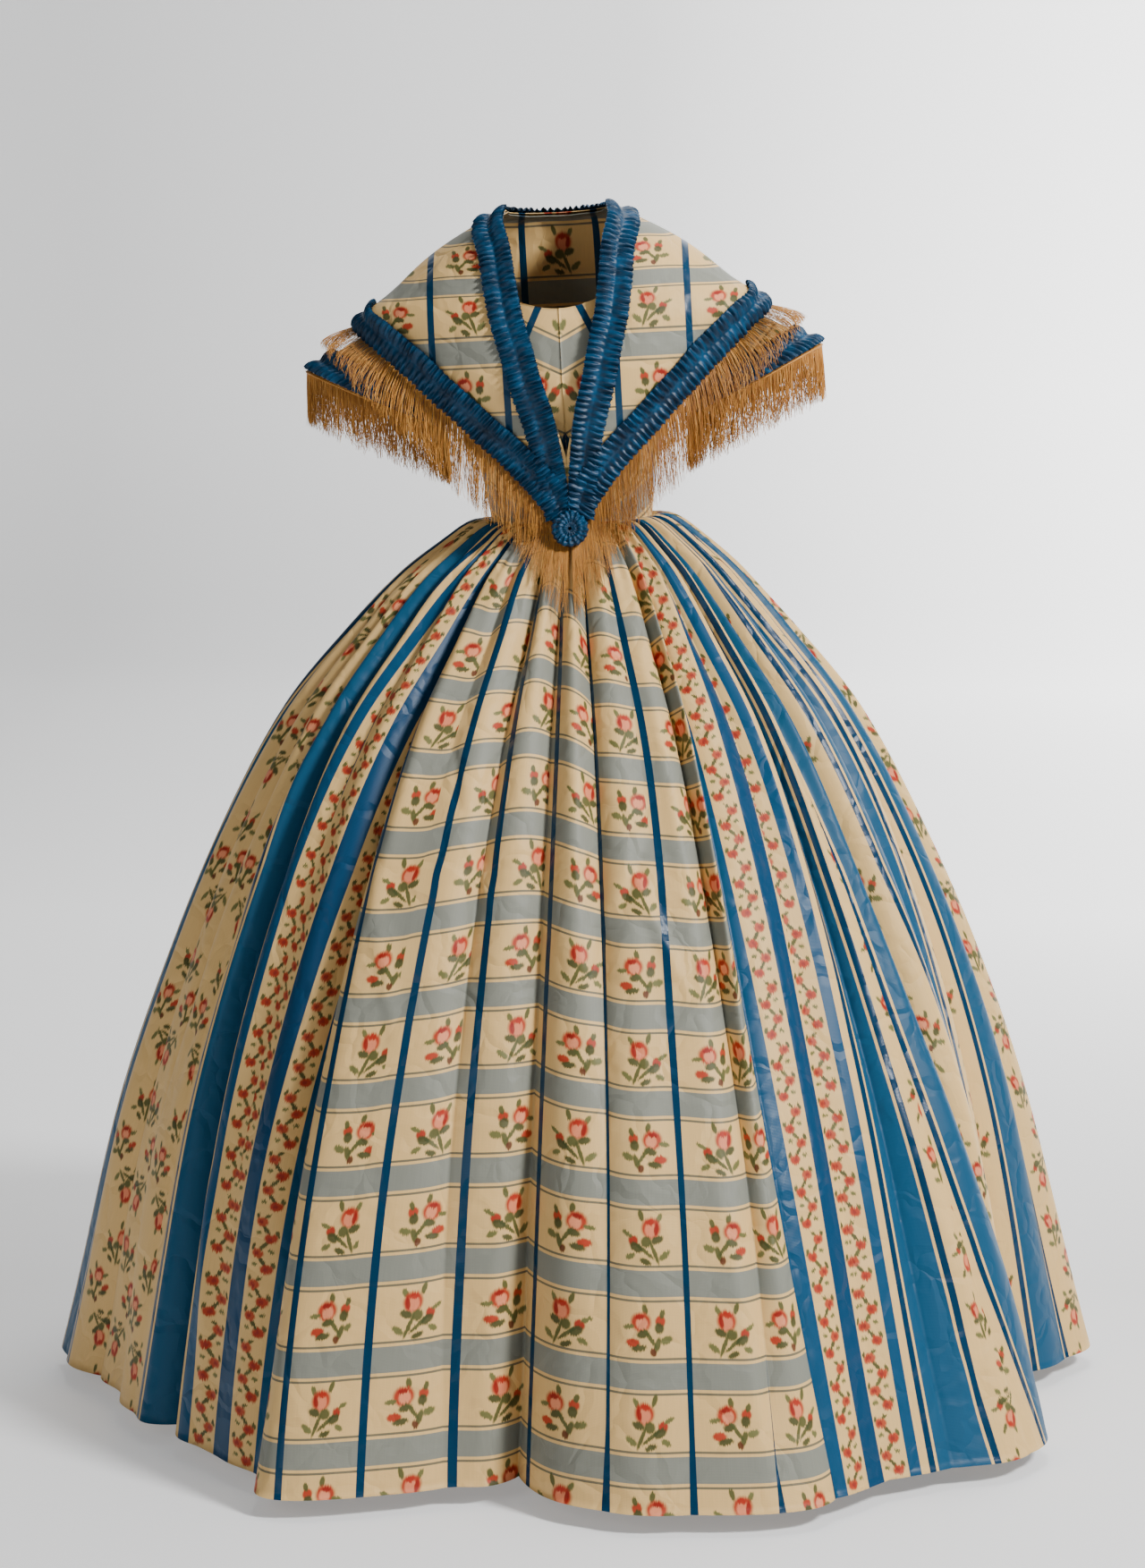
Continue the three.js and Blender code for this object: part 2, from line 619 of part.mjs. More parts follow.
// A place on the cape a given distance from one of its edges, measured across the band's direction.
function besideEdge(edge, station, distance) {
  const [nearStation, longestMove, probe] = [0.02, 6, 0.3];
  const along = edgePoint(edge, station + nearStation).sub(edgePoint(edge, station - nearStation));
  const { turn, drop } = edgeAt(edge, station);
  const opposite = edgePoint(edge === 'neck' ? 'hem' : 'neck', station);
  const across = along.cross(capeOutward(turn, drop)).normalize();
  if (across.dot(opposite.sub(capePoint(turn, drop))) < 0) {
    across.negate();
  }
  const steps = Math.ceil(Math.abs(distance) / longestMove);
  let place = { turn, drop };
  for (let i = 0; i < steps; i += 1) {
    const here = capePoint(place.turn, place.drop);
    const round = capePoint(place.turn + probe, place.drop).sub(here).divideScalar(probe);
    const down = capePoint(place.turn, place.drop + probe).sub(here).divideScalar(probe);
    const move = across.clone().multiplyScalar(distance / steps);
    const [rr, rd, dd] = [round.dot(round), round.dot(down), down.dot(down)];
    const [mr, md] = [move.dot(round), move.dot(down)];
    const scale = rr * dd - rd * rd;
    place = {
      turn: place.turn + (mr * dd - md * rd) / scale,
      drop: place.drop + (md * rr - mr * rd) / scale,
    };
  }
  return { point: capePoint(place.turn, place.drop), outward: capeOutward(place.turn, place.drop), across };
}

// ---------------------------------------------------------------- ruched ribbon bands

// placeAt gives a point and its outward direction for a station and a distance from the cloth's edge,
// liftAt how far above the cloth the band lies there, and outerHalfAt how much of its far half is left.
function ruche(stations, placeAt, liftAt, outerHalfAt, wraps, keep) {
  const rings = stations.map((station, i) => rucheSection.map((spot) => {
    const onCrest = i % 2 === 0;
    const left = spot.across < 0 ? outerHalfAt(station) : 1;
    const width = ribbonHalfWidth * left * (onCrest ? 1 : 0.95);
    const { point, outward } = placeAt(station, ribbonInset - spot.across * width);
    const height = liftAt(station) + (onCrest ? spot.crest : spot.valley);
    return keep(point.addScaledVector(outward, height));
  }));
  return bar(rings, wraps);
}

function neckOuterHalf(station) {
  const share = (station - neckRucheFoot.station) / (neckRucheFoot.wholeFrom - neckRucheFoot.station);
  return lerp(neckRucheFoot.outerHalf, 1, clamp01(share));
}

const wholeHalf = () => 1;
const onBertha = () => restGap;
const neckPlace = (station, distance) => besideEdge('neck', station, distance);
const hemPlace = (station, distance) => besideEdge('hem', station, distance);
const neckColumns = 2 * rucheWaves.neckFront;
const neckFrontStations = evenStations('neck', neckRucheFoot.station, shoulderStation, neckColumns);
const edgeFrontStations = evenStations('hem', 0, shoulderStation, 2 * rucheWaves.edgeFront);
for (const [side, flip] of bothSides) {
  const keep = (point) => flip(keepFront(point));
  const neckBand = ruche(neckFrontStations, neckPlace, onBertha, neckOuterHalf, false, keep);
  const edgeBand = ruche(edgeFrontStations, hemPlace, onBertha, wholeHalf, false, keep);
  addPiece(`ruche_neck_${side}`, neckBand, colours.ribbon);
  addPiece(`ruche_edge_${side}`, edgeBand, colours.ribbon);
}
const neckBackStations = evenStations('neck', shoulderStation, otherShoulder, 2 * rucheWaves.neckBack);
const edgeBackStations = evenStations('hem', shoulderStation, otherShoulder, 2 * rucheWaves.edgeBack);
const neckBackBand = ruche(neckBackStations, neckPlace, onBertha, wholeHalf, false, keepBack);
const edgeBackBand = ruche(edgeBackStations, hemPlace, onBertha, wholeHalf, false, keepBack);
addPiece('ruche_neck_back', neckBackBand, colours.ribbon);
addPiece('ruche_edge_back', edgeBackBand, colours.ribbon);

// ---------------------------------------------------------------- sleeves

function armholePoint(angle) {
  const z = armholeCentre + armholeRadius * Math.cos(angle);
  const bulge = Math.abs(Math.sin(angle)) ** armholeRoundness;
  const azimuth = Math.sin(angle) > 0 ? 90 - armholeFront * bulge : 90 + armholeBack * bulge;
  return bodicePoint(azimuth, z).addScaledVector(bodiceOutward(azimuth, z), armholeSeam);
}

function sleeveRingPoint(ring, angle) {
  const up = ring.height * Math.cos(angle);
  const tilt = ring.tilt * DEGREE;
  return vector(
    ring.x + up * Math.cos(tilt),
    ring.y - ring.depth * Math.sin(angle),
    ring.z + up * Math.sin(tilt),
  );
}

function sleevePoint(angle, ring) {
  return ring === 0 ? armholePoint(angle) : sleeveRingPoint(sleeveRings[ring - 1], angle);
}

function sleeveOutward(angle, ring) {
  const step = (2 * Math.PI) / sleeveColumns;
  const round = sleevePoint(angle + step, ring).sub(sleevePoint(angle - step, ring));
  const above = sleevePoint(angle, Math.max(0, ring - 1));
  const below = sleevePoint(angle, Math.min(sleeveRings.length, ring + 1));
  return round.cross(below.sub(above)).normalize();
}

// The short underarm side of the sleeve is hollow along its length, so the band stands off more there.
const onSleeve = (angle) => restGap + underarmLift * (1 - Math.cos(angle)) / 2;

const anglesRound = (count) => Array.from({ length: count }, (_, i) => (i / count) * 2 * Math.PI);
const sleeveAngles = anglesRound(sleeveColumns);

function sleeveWall(flip) {
  const grid = (inset) => Array.from({ length: sleeveRings.length + 1 }, (_, ring) => sleeveAngles.map(
    (angle) => flip(sleevePoint(angle, ring).addScaledVector(sleeveOutward(angle, ring), -inset)),
  ));
  return wall(grid(0), grid(bodyWall), true);
}

// A place on the sleeve a given distance up from its open edge, or past it.
function sleevePlace(angle, distance) {
  let ring = sleeveRings.length;
  let left = distance;
  let span = sleevePoint(angle, ring).distanceTo(sleevePoint(angle, ring - 1));
  while (left > span && ring > 1) {
    left -= span;
    ring -= 1;
    span = sleevePoint(angle, ring).distanceTo(sleevePoint(angle, ring - 1));
  }
  const share = left / span;
  const outward = sleeveOutward(angle, ring).lerp(sleeveOutward(angle, ring - 1), clamp01(share));
  outward.normalize();
  const point = sleevePoint(angle, ring).lerp(sleevePoint(angle, ring - 1), share);
  const across = sleevePoint(angle, ring - 1).sub(sleevePoint(angle, ring)).normalize();
  return { point, outward, across };
}

for (const [side, flip] of bothSides) {
  const sleeveBand = ruche(sleeveAngles, sleevePlace, onSleeve, wholeHalf, true, flip);
  addPiece(`sleeve_${side}`, sleeveWall(flip), colours.printedSilk);
  addPiece(`ruche_sleeve_${side}`, sleeveBand, colours.ribbon);
}

// ---------------------------------------------------------------- rosette

function rosetteBody() {
  const columns = 2 * rosette.waves;
  const tilt = rosette.tilt * DEGREE;
  const place = (x, up, out) => vector(
    x,
    -(rosette.standOff + out * Math.cos(tilt) - up * Math.sin(tilt)),
    rosette.z + up * Math.cos(tilt) + out * Math.sin(tilt),
  );
  const points = [place(0, 0, 0)];
  for (const row of rosetteProfile) {
    for (let i = 0; i < columns; i += 1) {
      const angle = (i / columns) * 2 * Math.PI;
      const wave = i % 2 === 0 ? rosette.wave : -rosette.wave;
      const radius = rosette.radius * row.radius + wave * row.radius;
      const height = rosette.thickness * row.height;
      points.push(place(radius * Math.sin(angle), radius * Math.cos(angle), height));
    }
  }
  points.push(place(0, 0, rosette.thickness * 0.8));
  const top = points.length - 1;
  const faces = [];
  for (let i = 0; i < columns; i += 1) {
    const next = (i + 1) % columns;
    faces.push(0, 1 + next, 1 + i);
    for (let row = 0; row < rosetteProfile.length - 1; row += 1) {
      const here = 1 + row * columns;
      const there = here + columns;
      faces.push(here + i, here + next, there + next, here + i, there + next, there + i);
    }
    const last = 1 + (rosetteProfile.length - 1) * columns;
    faces.push(last + i, last + next, top);
  }
  return closedBody(points, faces);
}

addPiece('rosette', rosetteBody(), colours.ribbon);

// ---------------------------------------------------------------- fringe

const skirtByHeight = skirtRings.slice(1);

// A point of a lock that would touch the skirt is moved out in front of it.
function clearOfSkirt(point) {
  if (point.z > skirtByHeight[0].z + lock.clear) {
    return point;
  }
  const ring = tableAt(skirtByHeight, 'z', Math.min(point.z, skirtByHeight[0].z));
  const side = ring.radius + lock.clear;
  const reach = ring.radius * (point.y < 0 ? ring.front : ring.back) + lock.clear;
  const share = Math.hypot(point.x / side, point.y / reach);
  return share < 1 ? vector(point.x / share, point.y / share, point.z) : point;
}

// A narrow strip of triangular section, with one hanging three-sided lock under each of its cells.
// hangAt gives a lock's length and the way out in which its tip stands.
function fringe(stations, placeAt, hangAt, wraps, keep) {
  const cells = wraps ? stations.length : stations.length - 1;
  const strip = stations.map((station) => {
    const { point, outward, across } = placeAt(station, 0);
    const spot = (beyond, under) => (
      point.clone().addScaledVector(across, -beyond).addScaledVector(outward, -under)
    );
    return [
      spot(fringeStrip.start, fringeStrip.top),
      spot(fringeStrip.end, fringeStrip.face),
      spot(fringeStrip.end, fringeStrip.back),
    ];
  });
  const points = strip.flat();
  const faces = [];
  for (let cell = 0; cell < cells; cell += 1) {
    const here = cell * 3;
    const there = ((cell + 1) % stations.length) * 3;
    const [top, face, back] = [here, here + 1, here + 2];
    const [nextTop, nextFace, nextBack] = [there, there + 1, there + 2];
    faces.push(top, face, nextFace, top, nextFace, nextTop);
    faces.push(top, nextTop, nextBack, top, nextBack, back);
    faces.push(back, nextBack, nextFace);
    const { length, out } = hangAt(stations[cell], cell);
    const root = points[face].clone().add(points[back]).add(points[nextFace]).divideScalar(3);
    const swing = Math.sin(cell * lockSway.across) * Math.cos(cell * lockSway.along);
    const ahead = vector(out.x, out.y, 0);
    const drop = Math.sqrt(length * length - ahead.lengthSq()) + lock.jitter * swing;
    const hang = (share) => {
      const spread = 1 - (1 - share) ** 2;
      return clearOfSkirt(root.clone().addScaledVector(ahead, spread).sub(vector(0, 0, drop * share)));
    };
    const middle = hang(lock.middle);
    const hanging = middle.clone().sub(root).normalize();
    const flat = points[nextFace].clone().sub(points[face]);
    flat.addScaledVector(hanging, -flat.dot(hanging));
    const half = flat.length() * lock.width / 2;
    flat.normalize();
    const facing = flat.clone().cross(hanging);
    if (facing.dot(points[face].clone().sub(points[back])) < 0) {
      facing.negate();
    }
    const ring = [
      middle.clone().addScaledVector(flat, -half).addScaledVector(facing, lock.thickness / 3),
      middle.clone().addScaledVector(facing, -lock.thickness * 2 / 3),
      middle.clone().addScaledVector(flat, half).addScaledVector(facing, lock.thickness / 3),
    ];
    const start = points.length;
    points.push(...ring, hang(1));
    const roots = [face, back, nextFace];
    for (let i = 0; i < 3; i += 1) {
      const next = (i + 1) % 3;
      faces.push(roots[i], roots[next], start + next, roots[i], start + next, start + i);
      faces.push(start + i, start + next, start + 3);
    }
  }
  if (!wraps) {
    const foot = cells * 3;
    faces.push(0, 2, 1, foot, foot + 1, foot + 2);
  }
  return closedBody(points.map(keep), faces);
}

function horizontalOut(edge, station) {
  const { turn, drop } = edgeAt(edge, station);
  return capeOutward(turn, drop).setZ(0).normalize();
}

const berthaHang = (station) => {
  const folded = station > centreBackStation ? 2 * centreBackStation - station : station;
  const row = tableAt(berthaFringe, 'station', folded);
  return { length: row.length, out: horizontalOut('hem', station).multiplyScalar(row.out) };
};
const sleeveHang = (angle) => ({
  length: sleeveFringe.length,
  out: vector(0, -Math.sin(angle) * sleeveFringe.out, 0),
});

const fringeFrontStations = evenStations('hem', 0, shoulderStation, fringeLocks.front);
const fringeBackStations = evenStations('hem', shoulderStation, otherShoulder, fringeLocks.back);
const fringeSleeveAngles = anglesRound(fringeLocks.sleeve);
for (const [side, flip] of bothSides) {
  const keep = (point) => flip(keepFront(point));
  const frontFringe = fringe(fringeFrontStations, hemPlace, berthaHang, false, keep);
  const sleeveLocks = fringe(fringeSleeveAngles, sleevePlace, sleeveHang, true, flip);
  addPiece(`fringe_front_${side}`, frontFringe, colours.fringe);
  addPiece(`fringe_sleeve_${side}`, sleeveLocks, colours.fringe);
}
addPiece('fringe_back', fringe(fringeBackStations, hemPlace, berthaHang, false, keepBack), colours.fringe);

export default gown;
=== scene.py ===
# An evening gown of about 1850, hollow as it is worn: warp-printed silk with satin stripes, a V-shaped
# bertha edged with ruched ribbon and silk fringe, short bell sleeves and a full pleated skirt.
# Metres, +Z up; the origin is the centre of the waist and the front faces -Y. "Left" is the wearer's.
import math

import bpy
import numpy as np
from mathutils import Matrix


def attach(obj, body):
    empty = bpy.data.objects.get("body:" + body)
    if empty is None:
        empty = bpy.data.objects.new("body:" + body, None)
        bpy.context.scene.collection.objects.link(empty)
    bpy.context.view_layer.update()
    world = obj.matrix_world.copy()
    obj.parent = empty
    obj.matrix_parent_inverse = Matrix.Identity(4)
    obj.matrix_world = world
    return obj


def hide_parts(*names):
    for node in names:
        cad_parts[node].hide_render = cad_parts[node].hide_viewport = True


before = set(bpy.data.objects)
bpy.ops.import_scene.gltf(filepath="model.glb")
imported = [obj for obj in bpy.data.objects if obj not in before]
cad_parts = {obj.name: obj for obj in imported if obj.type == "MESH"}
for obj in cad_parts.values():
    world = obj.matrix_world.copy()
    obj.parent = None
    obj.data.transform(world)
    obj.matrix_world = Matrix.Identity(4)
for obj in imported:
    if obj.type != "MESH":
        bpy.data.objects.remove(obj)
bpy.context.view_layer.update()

# ---------------------------------------------------------------- camera
# A long lens 4.6 m in front of the gown, a little above its waist and tilted down to the hem.
CAMERA_TURN = math.radians(1.5)
CAMERA_DISTANCE = 4.6
CAMERA_HEIGHT = 0.25
CAMERA_TILT = math.radians(7.3)
CAMERA_ANGLE = math.radians(24.77)

camera_data = bpy.data.cameras.new("camera")
camera_data.angle = CAMERA_ANGLE
camera = bpy.data.objects.new("camera", camera_data)
camera.location = (
    CAMERA_DISTANCE * math.sin(CAMERA_TURN),
    -CAMERA_DISTANCE * math.cos(CAMERA_TURN),
    CAMERA_HEIGHT,
)
camera.rotation_euler = (math.pi / 2 - CAMERA_TILT, 0, CAMERA_TURN)
bpy.context.scene.collection.objects.link(camera)
bpy.context.scene.camera = camera

# ---------------------------------------------------------------- skirt
# Five full-length breadths of silk taffeta, pleated into the waistband and spread over petticoats. The
# front breadth is cut from the sprigged cloth, the side and back ones with its striped border lengthwise.
MM = 0.001
LEAN = math.radians(3)
LEAN_FOOT = -90
LEAN_HEAD = 60


def table(names, *rows):
    return dict(zip(names.split(), np.array(rows, float).T))


def smooth(share):
    s = np.clip(share, 0, 1)
    return s * s * (3 - 2 * s)


def mix(start, end, share):
    return start + (end - start) * share


def curve(keys, values, at):
    """A smooth curve through a table's rows, straight on past its ends."""
    if keys[-1] < keys[0]:
        keys, values = keys[::-1], values[::-1]
    slopes = np.empty_like(values)
    slopes[1:-1] = (values[2:] - values[:-2]) / (keys[2:] - keys[:-2])
    slopes[[0, -1]] = (values[[1, -1]] - values[[0, -2]]) / (keys[[1, -1]] - keys[[0, -2]])
    row = np.clip(np.searchsorted(keys, at) - 1, 0, len(keys) - 2)
    span = keys[row + 1] - keys[row]
    share = (at - keys[row]) / span
    s = np.clip(share, 0, 1)
    inside = (
        (2 * s**3 - 3 * s**2 + 1) * values[row] + (s**3 - 2 * s**2 + s) * span * slopes[row]
        + (3 * s**2 - 2 * s**3) * values[row + 1] + (s**3 - s**2) * span * slopes[row + 1]
    )
    return inside + (share - s) * span * np.where(share < 0, slopes[0], slopes[-1])


def lean(points):
    """The whole upper part leans a little to the wearer's right."""
    x, y, z = np.moveaxis(points, -1, 0)
    angle = LEAN * smooth((z - LEAN_FOOT) / (LEAN_HEAD - LEAN_FOOT))
    return np.stack([x * np.cos(angle) - z * np.sin(angle), y, x * np.sin(angle) + z * np.cos(angle)], -1)


def unit(vectors):
    return vectors / np.maximum(np.linalg.norm(vectors, axis=-1, keepdims=True), 1e-9)


def slopes_of(points, axis, wraps=False):
    if wraps:
        return np.roll(points, -1, axis) - np.roll(points, 1, axis)
    return np.gradient(points, axis=axis)


def join_mesh(name, points, faces, uvs, material):
    """A smooth mesh from millimetre points, with each face corner's place on the cloth, in metres."""
    faces = np.asarray(faces)
    mesh = bpy.data.meshes.new(name)
    mesh.vertices.add(len(points))
    mesh.vertices.foreach_set("co", (lean(points) * MM).astype(np.float32).ravel())
    corners = faces.shape[1]
    mesh.loops.add(faces.size)
    mesh.loops.foreach_set("vertex_index", faces.astype(np.int32).ravel())
    mesh.polygons.add(len(faces))
    mesh.polygons.foreach_set("loop_start", np.arange(0, faces.size, corners, dtype=np.int32))
    mesh.update(calc_edges=True)
    mesh.uv_layers.new(name="cloth").data.foreach_set("uv", (uvs * MM).astype(np.float32).ravel())
    mesh.polygons.foreach_set("use_smooth", np.ones(len(faces), bool))
    mesh.materials.append(material)
    mesh.validate()
    piece = bpy.data.objects.new(name, mesh)
    bpy.context.scene.collection.objects.link(piece)
    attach(piece, "root")
    return piece


def shell(name, points, cloth, material, thickness, cloth_after=None, way_round=None, core=(0, 0)):
    """Thin cloth on a grid of points, a closed ring where way_round gives the flat cloth's width round it.
    cloth is each point's place on the flat cloth for the cell that starts at its column, and cloth_after
    the same for the cell that ends there. The outer face looks away from the core."""
    rows, columns = points.shape[:2]
    wraps = way_round is not None
    cloth_after = cloth.copy() if cloth_after is None else cloth_after
    if wraps:
        cloth_after[:, 0, 0] += way_round
    cells = np.arange(columns if wraps else columns - 1)
    normal = unit(np.cross(slopes_of(points, 1, wraps), slopes_of(points, 0)))
    outward = points - np.array([core[0], core[1], 0.0])
    outward[..., 2] = 0
    turned = np.sum(normal * outward) < 0
    normal = -normal if turned else normal
    both = np.concatenate([points.reshape(-1, 3), (points - thickness * normal).reshape(-1, 3)])
    under = rows * columns
    row, column = np.meshgrid(np.arange(rows - 1), cells, indexing="ij")
    after = (column + 1) % columns
    corner_rows = np.stack([row, row, row + 1, row + 1], -1)
    corner_columns = np.stack([column, after, after, column], -1)
    outer = corner_rows * columns + corner_columns
    uv = np.stack([
        cloth[row, column], cloth_after[row, after], cloth_after[row + 1, after], cloth[row + 1, column],
    ], 2)
    outer, uv = outer.reshape(-1, 4), uv.reshape(-1, 4, 2)
    if not turned:
        outer, uv = outer[:, ::-1], uv[:, ::-1]
    faces, uvs = [outer, outer[:, ::-1] + under], [uv, uv[:, ::-1]]
    edges = [
        (edge_row * columns + cells, edge_row * columns + (cells + 1) % columns, flipped)
        for edge_row, flipped in ((0, turned), (rows - 1, not turned))
    ]
    if not wraps:
        side = np.arange(rows - 1) * columns
        edges += [(side, side + columns, not turned), (side + columns - 1, side + 2 * columns - 1, turned)]
    for first, second, flipped in edges:
        rim = np.stack([first, second, second + under, first + under], -1)
        rim = rim if flipped else rim[:, ::-1]
        faces.append(rim)
        uvs.append(cloth.reshape(-1, 2)[rim % under])
    return join_mesh(name, both, np.concatenate(faces), np.concatenate(uvs), material)


def cloth_area(points):
    """The area of a grid of cloth, in square metres."""
    steps, widths = (np.linalg.norm(np.diff(points, axis=axis), axis=-1) for axis in (0, 1))
    return np.sum(steps[:, 1:] * widths[1:]) * MM * MM


SKIRT_CLOTH = 0.6
SKIRT_RINGS = table(
    "z radius front back fall settle",
    (-4.3, 107, 0.8, 0.8, 0, 0), (9, 113, 0.8, 0.83, 8, 0.3), (6, 132, 0.76, 0.88, 9, 0.5),
    (-14, 161, 0.7, 0.93, 6, 0.5), (-62, 222, 0.65, 0.99, 0, 0.5), (-135, 291, 0.68, 1.02, 0, 0.4),
    (-233, 371, 0.75, 1.04, 0, 0.3), (-362, 442, 0.815, 1.05, 0, 0.15), (-540, 517, 0.875, 1.05, 0, 0),
    (-760, 588, 0.94, 1.05, 0, 0), (-1088, 661, 0.985, 1.05, 0, 0),
)
# Each valley between two folds: its azimuth at hem and waist, how far it bows aside between them, and
# how far it is sunk a fifth of the way down, near the middle and at the hem.
FRONT_FOLDS = table(
    "hem waist bow upper middle low",
    (-92, -90, 0, 26, 30, 14), (-84, -81, 0, 18, 10, 6), (-75, -72, 0, 20, 14, 12),
    (-67, -64, 0, 16, 10, 4), (-60, -57, 0, 14, 8, 4), (-52, -49, -2, 34, 52, 36), (-42, -39, -3, 14, 8, 3),
    (-31.5, -29, -4, 34, 46, 14), (-22, -20, -1, 12, 5, 3), (-12.5, -9, -3, 28, 26, 8),
    (-5, -3, 0.5, 26, 30, 42), (4.5, 4.5, 1, 26, 24, 5), (12.5, 13, 0.5, 8, 5, 3), (20.5, 23, 0, 28, 34, 2),
    (27, 27, -3.5, 12, 10, 8), (34.5, 34, -1, 12, 8, 5), (42, 41, 0, 18, 22, 6), (51, 44, -2, 10, 5, 6),
    (61, 48, -3, 34, 56, 18), (69, 60, -1, 20, 14, 10), (77, 71, 0, 24, 20, 20), (86, 83, 0, 20, 14, 8),
    (95, 94, 0, 26, 28, 12),
)
BACK_FOLDS = 13
back_number = np.arange(BACK_FOLDS)
back_azimuth = np.linspace(104, 256, BACK_FOLDS)
FOLDS = {
    "hem": np.append(FRONT_FOLDS["hem"], back_azimuth),
    "waist": np.append(FRONT_FOLDS["waist"], back_azimuth),
    "bow": np.append(FRONT_FOLDS["bow"], 0 * back_azimuth),
    "upper": np.append(FRONT_FOLDS["upper"], 29 + 5 * np.sin(2.1 * back_number)),
    "middle": np.append(FRONT_FOLDS["middle"], 27 + 9 * np.sin(2.4 * back_number)),
    "low": np.append(FRONT_FOLDS["low"], 16 + 8 * np.sin(1.7 * back_number + 1)),
}
FOLD_COUNT = len(FOLDS["hem"])
WAIST_FOLD_DEPTH = 2
UPPER_KNOT, MIDDLE_KNOT = 0.184, 0.45
FOLD_ROUNDNESS = 0.85
# The cloth folds and creases this much more sharply than the tables of their depths and heights.
FOLD_DEPTH_SCALE = 1.12
CREASE_HEIGHT_SCALE = 2.4
HEM_SWELL = table(
    "azimuth out",
    (-88, 14), (-81, 4), (-75, -22), (-69, -44), (-63, -34), (-56, -30), (-47, -30), (-38, -12), (-33, 6),
    (-29, 64), (-24, 56), (-16, -10), (-6, -60), (4, 26), (13, 54), (23, 70), (32, 28), (40, 28), (50, 66),
    (57, 38), (63, -34), (70, -80), (78, -58), (84, -16), (92, 26), (100, 0),
)
# Creases pressed into the taffeta by hand and by wear: azimuth, start and end down the skirt, slant in
# degrees from start to end, height (a trough is negative) and half width in degrees.
CREASES = table(
    "azimuth start end slant height width",
    (-27, 0.10, 0.52, -2, 2.4, 1.3), (-25, 0.42, 0.62, 9, 2.2, 1.2), (-18, 0.30, 0.44, 7, -2.0, 1.0),
    (-15, 0.36, 0.48, 8, 2.2, 1.0), (-7, 0.55, 0.98, -3, 2.0, 1.4), (1.5, 0.12, 0.55, 0.4, 3.0, 1.6),
    (9, 0.40, 0.52, -8, -2.6, 1.2), (13, 0.42, 0.56, 7, 2.4, 1.1), (17, 0.14, 0.50, 2, 2.6, 1.5),
    (19, 0.68, 1.05, 3, 2.0, 1.5), (30, 0.30, 0.90, 2, 2.4, 1.3), (38, 0.22, 0.60, 1, 2.6, 1.2),
    (46, 0.62, 0.98, 6, 2.6, 1.4), (47, 0.80, 1.02, -6, -2.4, 1.2), (56, 0.70, 1.02, 3, 2.6, 1.6),
    (-36, 0.35, 0.85, -3, 2.4, 1.4), (-46, 0.74, 1.02, 7, 2.8, 1.3), (-57, 0.30, 0.55, -4, 3.4, 1.6),
    (-61, 0.42, 0.72, -5, -2.8, 1.5), (-66, 0.50, 0.95, 3, 2.6, 1.8), (-78, 0.35, 0.90, -3, 2.4, 2.0),
    (82, 0.30, 0.90, 4, 2.6, 1.9), (112, 0.30, 0.80, 5, 2.6, 1.8), (128, 0.45, 0.98, -4, -2.4, 1.6),
    (146, 0.20, 0.70, 4, 2.6, 1.7), (163, 0.50, 1.02, -5, 2.4, 1.6), (184, 0.25, 0.75, 3, 2.6, 1.7),
    (201, 0.48, 0.95, 6, -2.4, 1.6), (222, 0.30, 0.85, -4, 2.6, 1.8), (244, 0.40, 1.02, 5, 2.4, 1.7),
)
WAIST_PLEATS = 76
WAIST_PLEAT_DEPTH = 10
WAIST_PLEAT_END = 0.05
RIPPLES = table(
    "height across down start",
    (0.9, 5.3, 9.1, 0.3), (0.7, 11.9, -6.2, 1.7), (0.6, -8.1, 17.3, 2.9), (0.45, 21.7, 12.4, 4.1),
    (0.35, 33.1, -21.9, 5.3),
)

ring_steps = np.hypot(np.diff(SKIRT_RINGS["radius"]), np.diff(SKIRT_RINGS["z"]))
ring_down = np.append(0, np.cumsum(ring_steps)) / np.sum(ring_steps)


def fold_azimuth(valley, down):
    turn, fold = np.divmod(valley, FOLD_COUNT)
    straight = mix(FOLDS["waist"][fold], FOLDS["hem"][fold], down)
    return straight + FOLDS["bow"][fold] * 4 * down * (1 - down) + 360 * turn


def fold_depth(valley, down):
    fold = valley % FOLD_COUNT
    upper, middle, low = (FOLDS[name][fold] for name in ("upper", "middle", "low"))
    return np.select(
        [down < UPPER_KNOT, down < MIDDLE_KNOT],
        [
            mix(WAIST_FOLD_DEPTH, upper, down / UPPER_KNOT),
            mix(upper, middle, (down - UPPER_KNOT) / (MIDDLE_KNOT - UPPER_KNOT)),
        ],
        mix(middle, low, (down - MIDDLE_KNOT) / (1 - MIDDLE_KNOT)),
    )


def skirt_relief(azimuth, down):
    """Small pleats under the waistband, the creases, and a faint unevenness."""
    turned = (azimuth + 90) % 360 - 90
    pleat = np.sin(np.radians(azimuth) * WAIST_PLEATS + 1.2 * np.sin(np.radians(azimuth) * 9))
    fade = down / WAIST_PLEAT_END
    relief = WAIST_PLEAT_DEPTH / 2 * fade * np.exp(1 - fade) * pleat
    for azimuth_0, start, end, slant, height, width in zip(*CREASES.values()):
        along = (down - start) / (end - start)
        centre = azimuth_0 + slant * (along - 0.5)
        fade = np.where((along > 0) & (along < 1), np.sin(np.pi * np.clip(along, 0, 1)), 0)
        relief = relief + CREASE_HEIGHT_SCALE * height * fade * np.exp(-(((turned - centre) / width) ** 2))
    for height, across, downward, start in zip(*RIPPLES.values()):
        wave = np.sin(np.radians(azimuth) * across + down * downward + start)
        relief = relief + height * wave * smooth(down / 0.2)
    return relief


